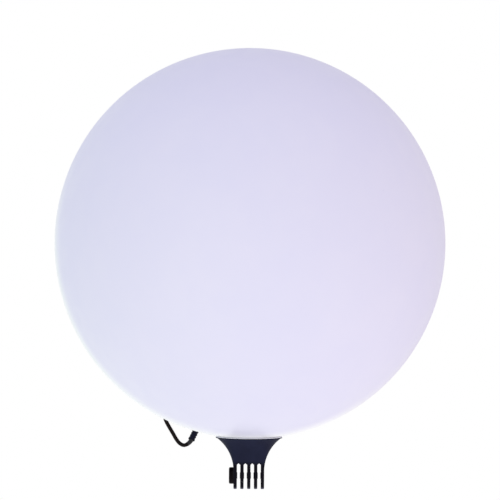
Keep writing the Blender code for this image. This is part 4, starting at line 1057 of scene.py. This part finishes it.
def make_rear_cap(finishes, knobs):
    """The turned cap joined to its two stubs, then bored for the button, the vent,
    the window, the socket, the gland and the screws."""
    cap = skin("cap", [spun(cap_profile(knobs.edge, 0.0004), AT_POD, 160)], finishes["pod_moulding"])
    mouth, end = PLUG_LENGTH, PLUG_LENGTH + 0.014
    stub = rounded([(0, mouth), (0.006, mouth, 0.0006), (0.006, end), (0, end)])
    gland = rounded([(0, 0.047), (0.005, 0.047), (0.005, 0.055, 0.0005), (0, 0.055)])
    stubs = [
        skin("tool_socket_stub", [spun(stub, AT_PLUG, 72)], None),
        skin("tool_gland_stub", [spun(gland, AT_GLAND, 72)], None),
    ]
    settle(cap, "UNION", stubs, 35)
    well, below, above = CAP_TOP - COUNTERBORE, 0.2075, 0.2115
    shank, head, vent_bore, window_bore = 0.0017, 0.003, 0.0033, 0.0025
    step = [(0, 0.2003), (shank, 0.2003), (shank, well), (head, well), (head, above), (0, above)]
    bores = [spun(step, shifted(AT_POD, *spot), 40) for spot in screw_places()]
    for radius, spot in (
        (BUTTON_RADIUS + GAP, (0, 0)), (vent_bore, VENT_PLACE), (window_bore, WINDOW_PLACE),
    ):
        bores.append(spun(rod(radius, below, above), shifted(AT_POD, *spot), 64))
    bores.append(spun(rod(0.0039, 0.0315, 0.0433), AT_PLUG, 48))
    bores.append(spun(rod(0.0024, 0.0407, 0.0555), AT_GLAND, 48))
    settle(cap, "DIFFERENCE", [skin("tool_bores", bores, None)], 35)
    stands_for(cap, "rear_cap")
    for i, spot in enumerate(screw_places()):
        grid = cross_screw(shifted(AT_POD, *spot), knobs)
        dressed(f"cap_fixing_{i + 1}", [grid], finishes, "steel", f"cap_screw_{i + 1}")
    seat = CAP_TOP + GAP
    inner = BUTTON_RADIUS + GAP
    bezel = rounded([
        (inner, seat), (inner, seat + 0.0010, 0.0003), (inner + 0.0017, seat + 0.0010, 0.0005),
        (inner + 0.0024, seat, 0.0001),
    ])
    ring = np.concatenate([bezel, bezel[:1]])
    dressed("button_ring", [(spun(ring, AT_POD, 96), True)], finishes, "black_rubber", "button_bezel")
    floor, brim, vent_radius, vent_stem = seat + 0.0010, seat + 0.0014, 0.0055, 0.003
    vent = rounded([
        (0, floor), (0.0022, floor, 0.0002), (0.0027, brim, 0.0003), (vent_radius, brim, 0.0007),
        (vent_radius, seat), (vent_stem, seat), (vent_stem, LIP_TOP), (0, LIP_TOP),
    ])
    grid = fluted(vent, WORLD, 96, 8, 0.0006, seat + 0.0001, seat + 0.0016)
    dressed("vent", [place(grid, shifted(AT_POD, *VENT_PLACE))], finishes, "black_rubber", "vent_plug")
    top = CAP_TOP + 0.0005
    bulge = np.linspace(0, 1, 12)
    lens = np.stack([0.0020 * np.sin(bulge * math.pi / 2), top - 0.0003 * bulge**2], axis=1)
    side = [(0.0022, top - 0.0004), (0.0022, CAP_UNDER), (0, CAP_UNDER)]
    grid = spun(np.concatenate([lens, side]), shifted(AT_POD, *WINDOW_PLACE), 48)
    dressed("status_lens", [grid], finishes, "status_window", "status_window")


def make_button(finishes, knobs):
    """The button: a crown that dips by the square of the distance, a ring groove, a
    soft shoulder, the lip under the cap and the stem to the switch."""
    dish_radius, brink = 0.0050, 0.0051
    lip_radius, lip_end = 0.0098, 0.2062
    stem_radius, stem_end = 0.0025, 0.19519
    radius = np.linspace(0, dish_radius, 16)
    dip = BUTTON_TOP - knobs.dish * (1 - (radius / dish_radius) ** 2)
    crown = np.stack([radius, dip], axis=1)
    groove = BUTTON_TOP - 0.0003
    rest = rounded([
        (brink, BUTTON_TOP), (0.0053, groove, 0.0001), (0.0058, groove, 0.0001),
        (0.0060, BUTTON_TOP, 0.0001), (BUTTON_RADIUS, BUTTON_TOP, 0.0010), (BUTTON_RADIUS, LIP_TOP),
        (lip_radius, LIP_TOP, 0.0002), (lip_radius, lip_end, 0.0002), (stem_radius, lip_end),
        (stem_radius, stem_end), (0, stem_end),
    ])
    rest[0] = (brink, BUTTON_TOP)
    profile = np.concatenate([crown, rest])
    dressed("button", [spun(profile, AT_POD, 96)], finishes, "button_rubber", "power_button", "power_button")


def flats(profile, at, steps, sides, across):
    """A turned shape planed to flats: the radius stays within the distance to a
    regular polygon's side at that angle."""
    grid = spun(profile, WORLD, steps)
    angle = np.arange(steps) * FULL / steps
    within = (angle + math.pi / sides) % (FULL / sides) - math.pi / sides
    limit = across / 2 / np.cos(within)
    radius = np.linalg.norm(grid[..., :2], axis=-1)
    keep = np.minimum(radius, limit) / np.maximum(radius, WELD)
    grid[..., :2] *= keep[..., None]
    return place(grid, at)


def make_fittings(finishes):
    """Socket and its thin nut, and the gland with its domed nut."""
    mouth, back, floor = 0.0255, 0.0430, 0.0255 + 0.011
    barrel, lead_in, bore = 0.0036, 0.0026, 0.0017
    socket = rounded([
        (0, back), (barrel, back, 0.0002), (barrel, mouth, 0.0003), (lead_in, mouth, 0.0002),
        (bore, mouth + 0.0008, 0.0002), (bore, floor), (0, floor),
    ])
    dressed("socket", [spun(socket, AT_PLUG, 64)], finishes, "nickel_plate", "power_socket")
    low, high, inner, outer, across = 0.0296, 0.0317, 0.0039, 0.0056, 0.0097
    nut = rounded([(inner, low), (outer, low, 0.0004), (outer, high, 0.0002), (inner, high)])
    nut = np.concatenate([nut, nut[:1]])
    dressed(
        "socket_ring_nut", [(flats(nut, AT_PLUG, 96, 6, across), True)], finishes, "nickel_plate",
        "socket_nut",
    )
    flange, body = 0.0046, 0.0021
    top, seat, end = 0.0570, 0.0553, 0.0410
    gland = rounded([
        (0, top), (flange, top, 0.0003), (flange, seat, 0.0002), (body, seat), (body, end), (0, end),
    ])
    dressed("gland", [spun(gland, AT_GLAND, 64)], finishes, "black_rubber", "lead_gland")
    bend, shoulder, start, across = 0.0025, 0.0608, 0.0573, 0.0090
    angle = np.linspace(0, math.pi / 2, 12)
    dome = np.stack([body + bend * np.sin(angle), 0.0615 + bend * np.cos(angle)], axis=1)
    lower = rounded([(flange, shoulder), (flange, start, 0.0003), (0, start)])
    nut = np.concatenate([[(0, 0.0640)], dome, lower])
    grid = flats(nut, AT_GLAND, 96, 12, across)
    dressed("gland_dome_nut", [grid], finishes, "black_moulding", "gland_nut")


# Finishes of the CAD nodes that stay -----------------------------------------

KEPT = {
    "black_moulding": ("neck_lock_ring",),
    "pod_moulding": ("battery_pod", "pod_clamp_ring"),
    "silicone": ("pod_seal",),
    "black_rubber": ("cap_oring", "wire_grommet"),
    "wire_jacket": ("lamp_wire",),
    "steel": ("pivot_nut", "board_screw_1", "board_screw_2", "board_screw_3"),
    "nickel_plate": ("plug_pin",),
    "aluminium": ("heat_spreader",),
    "white_board": ("led_board",),
    "circuit_board": ("control_board",),
    "opal_dome": ("lens_dome",),
    "white_plastic": ("battery_holder", "tact_switch", "wire_terminal"),
    "led_phosphor": tuple(f"led_{i + 1}" for i in range(6)),
    "cell_sleeve": ("battery_cell_1", "battery_cell_2"),
}


def dress_kept(finishes):
    """Gives each CAD node that stays its own procedural finish."""
    for slot, names in KEPT.items():
        for name in names:
            for place_in_list in frame["nodes"][name].material_slots:
                place_in_list.material = finishes[slot]


# What a user may change ------------------------------------------------------


def colour_of(name, description, default):
    """A colour that a user may change."""
    return FloatVectorProperty(
        name=name, description=description, subtype="COLOR", size=3, default=default, min=0, max=1,
    )


def length_of(name, description, default, **limits):
    """A length in metres that a user may change."""
    return FloatProperty(
        name=name, description=description, default=default, unit="LENGTH", precision=4, **limits,
    )


class LookSettings(PropertyGroup):
    globe_colour: colour_of("Globe", "Colour of the ball's plastic", (0.797, 0.772, 0.912))
    globe_shade: colour_of("Globe shade", "The deeper tone in the ball's clouds", (0.730, 0.715, 0.900))
    globe_roughness: FloatProperty(
        name="Globe roughness", description="How matt the ball is", default=0.36, min=0, max=1,
        subtype="FACTOR",
    )
    neck_colour: colour_of("Neck", "Colour of the neck's moulding", (0.016, 0.018, 0.040))


class GlobeSettings(PropertyGroup):
    wall: length_of("Wall", "Thickness of the ball's wall", 0.003, min=0.002, max=0.006)
    rings: IntProperty(
        name="Rings", description="Rings of faces from pole to pole", default=110, min=24, max=140,
    )


class NeckSettings(PropertyGroup):
    edge: length_of(
        "Edge", "Radius of the fingers' and the knuckle's edges", 0.0009, min=0.0003, max=0.0014,
    )


class LeadSettings(PropertyGroup):
    relief_ribs: IntProperty(
        name="Relief ribs", description="Ribs of the tapered relief", default=5, min=2, max=8,
    )
    coupling_flutes: IntProperty(
        name="Coupling flutes", description="Flutes round the coupling nut", default=18, min=8,
        max=30,
    )


class CapSettings(PropertyGroup):
    edge: length_of("Edge", "Radius of the rear cap's edge", 0.0022, min=0.0005, max=0.003)
    recess_width: length_of(
        "Recess width", "Width of the cross recess in a screw", 0.0007, min=0.0004, max=0.0012,
    )
    recess_radius: length_of(
        "Recess radius", "Reach of the cross recess", 0.0016, min=0.001, max=0.0022,
    )
    dish: length_of("Button dish", "How far the button's middle dips", 0.0004, min=0, max=0.0008)


class StageSettings(PropertyGroup):
    distance: length_of("Distance", "From the camera to the lamp", 3.0, min=1)
    field: length_of("Field", "Width of view at the lamp", 0.5128, min=0.1)
    rise: length_of("Rise", "How far the view is shifted up at the lamp", -0.0067)
    roll: FloatProperty(
        name="Roll", description="The camera's turn about its own line of sight",
        default=math.radians(-0.3), subtype="ANGLE",
    )
    fill: FloatProperty(
        name="Fill", description="Strength of the soft light from all round", default=0.722, min=0,
    )
    left_tint: colour_of("Left tint", "Colour of the soft light from the left", (0.93, 1.0, 1.0))
    right_tint: colour_of("Right tint", "Colour of the soft light from the right", (1.0, 0.95, 0.99))
    top_tint: colour_of("Top tint", "Colour of the soft light from above", (0.86, 0.86, 1.0))
    key_power: FloatProperty(
        name="Key", description="Power of the key light", default=0.8, min=0, unit="POWER",
    )
    floor_colour: colour_of("Floor", "Colour of the floor", (0.86, 0.86, 0.87))
    floor_height: length_of("Floor height", "The floor's height against the pivot", -0.5)
    floor_radius: length_of("Floor radius", "The floor's radius", 1.1, min=0.3)


class PoolLightSettings(PropertyGroup):
    look: PointerProperty(type=LookSettings)
    globe: PointerProperty(type=GlobeSettings)
    neck: PointerProperty(type=NeckSettings)
    lead: PointerProperty(type=LeadSettings)
    cap: PointerProperty(type=CapSettings)
    stage: PointerProperty(type=StageSettings)


# Operators and panel ---------------------------------------------------------

FINISHES = {}


def finishes_of(context):
    """The finishes, made once and shared by every operator."""
    if not FINISHES:
        FINISHES.update(make_finishes(context.scene.pool_light.look))
    return FINISHES


class POOLLIGHT_OT_stage(Operator):
    """Sets up the camera, the soft light and the pale floor"""

    bl_idname = "poollight.stage"
    bl_label = "Stage"

    def execute(self, context):
        stage = context.scene.pool_light.stage
        make_camera(stage)
        make_world(stage)
        target = tuple(GLOBE_CENTRE)
        make_light("key", (-1.1, -2.4, 1.1), 1.6, stage.key_power, target)
        make_light("low_fill", (0.9, -2.2, -0.05), 1.2, stage.key_power * 0.5, target)
        make_floor(stage)
        context.scene.view_settings.view_transform = "Standard"
        return {"FINISHED"}


class POOLLIGHT_OT_lead(Operator):
    """Builds the lead with its relief, its plug and the coupling nut"""

    bl_idname = "poollight.lead"
    bl_label = "Lead and plug"

    def execute(self, context):
        make_lead(finishes_of(context), context.scene.pool_light.lead)
        return {"FINISHED"}


class POOLLIGHT_OT_globe(Operator):
    """Builds the ball"""

    bl_idname = "poollight.globe"
    bl_label = "Globe"

    def execute(self, context):
        make_globe(finishes_of(context), context.scene.pool_light.globe)
        return {"FINISHED"}


class POOLLIGHT_OT_neck(Operator):
    """Builds the neck with its fingers, the nut cap and the seal"""

    bl_idname = "poollight.neck"
    bl_label = "Neck and knuckle"

    def execute(self, context):
        make_neck(finishes_of(context), context.scene.pool_light.neck)
        return {"FINISHED"}


class POOLLIGHT_OT_rear_cap(Operator):
    """Builds the rear cap with its screws, ring, vent and window"""

    bl_idname = "poollight.rear_cap"
    bl_label = "Rear cap"

    def execute(self, context):
        make_rear_cap(finishes_of(context), context.scene.pool_light.cap)
        return {"FINISHED"}


class POOLLIGHT_OT_button(Operator):
    """Builds the power button"""

    bl_idname = "poollight.button"
    bl_label = "Power button"

    def execute(self, context):
        make_button(finishes_of(context), context.scene.pool_light.cap)
        return {"FINISHED"}


class POOLLIGHT_OT_fittings(Operator):
    """Builds the socket, the gland and their nuts"""

    bl_idname = "poollight.fittings"
    bl_label = "Socket and gland"

    def execute(self, context):
        make_fittings(finishes_of(context))
        return {"FINISHED"}


class POOLLIGHT_OT_inside(Operator):
    """Gives the pieces inside the lamp their finishes"""

    bl_idname = "poollight.inside"
    bl_label = "Inner pieces"

    def execute(self, context):
        dress_kept(finishes_of(context))
        return {"FINISHED"}


STEPS = (
    POOLLIGHT_OT_stage, POOLLIGHT_OT_lead, POOLLIGHT_OT_globe, POOLLIGHT_OT_neck,
    POOLLIGHT_OT_rear_cap, POOLLIGHT_OT_button, POOLLIGHT_OT_fittings, POOLLIGHT_OT_inside,
)


class POOLLIGHT_PT_sidebar(Panel):
    bl_idname = "POOLLIGHT_PT_sidebar"
    bl_label = "Pool light"
    bl_space_type = "VIEW_3D"
    bl_region_type = "UI"
    bl_category = "Pool light"

    def draw(self, context):
        settings = context.scene.pool_light
        for name in ("look", "globe", "neck", "lead", "cap", "stage"):
            part = getattr(settings, name)
            box = self.layout.box()
            box.label(text=name.capitalize())
            for key in part.bl_rna.properties.keys():
                if key not in ("rna_type", "name"):
                    box.prop(part, key)
        for step in STEPS:
            self.layout.operator(step.bl_idname)


CLASSES = (
    LookSettings, GlobeSettings, NeckSettings, LeadSettings, CapSettings, StageSettings,
    PoolLightSettings, *STEPS, POOLLIGHT_PT_sidebar,
)


def register():
    for made in CLASSES:
        bpy.utils.register_class(made)
    bpy.types.Scene.pool_light = PointerProperty(type=PoolLightSettings)


def unregister():
    del bpy.types.Scene.pool_light
    for made in reversed(CLASSES):
        bpy.utils.unregister_class(made)


def main():
    register()
    for step in STEPS:
        group_name, action = step.bl_idname.split(".")
        getattr(getattr(bpy.ops, group_name), action)()


if __name__ == "__main__":
    main()
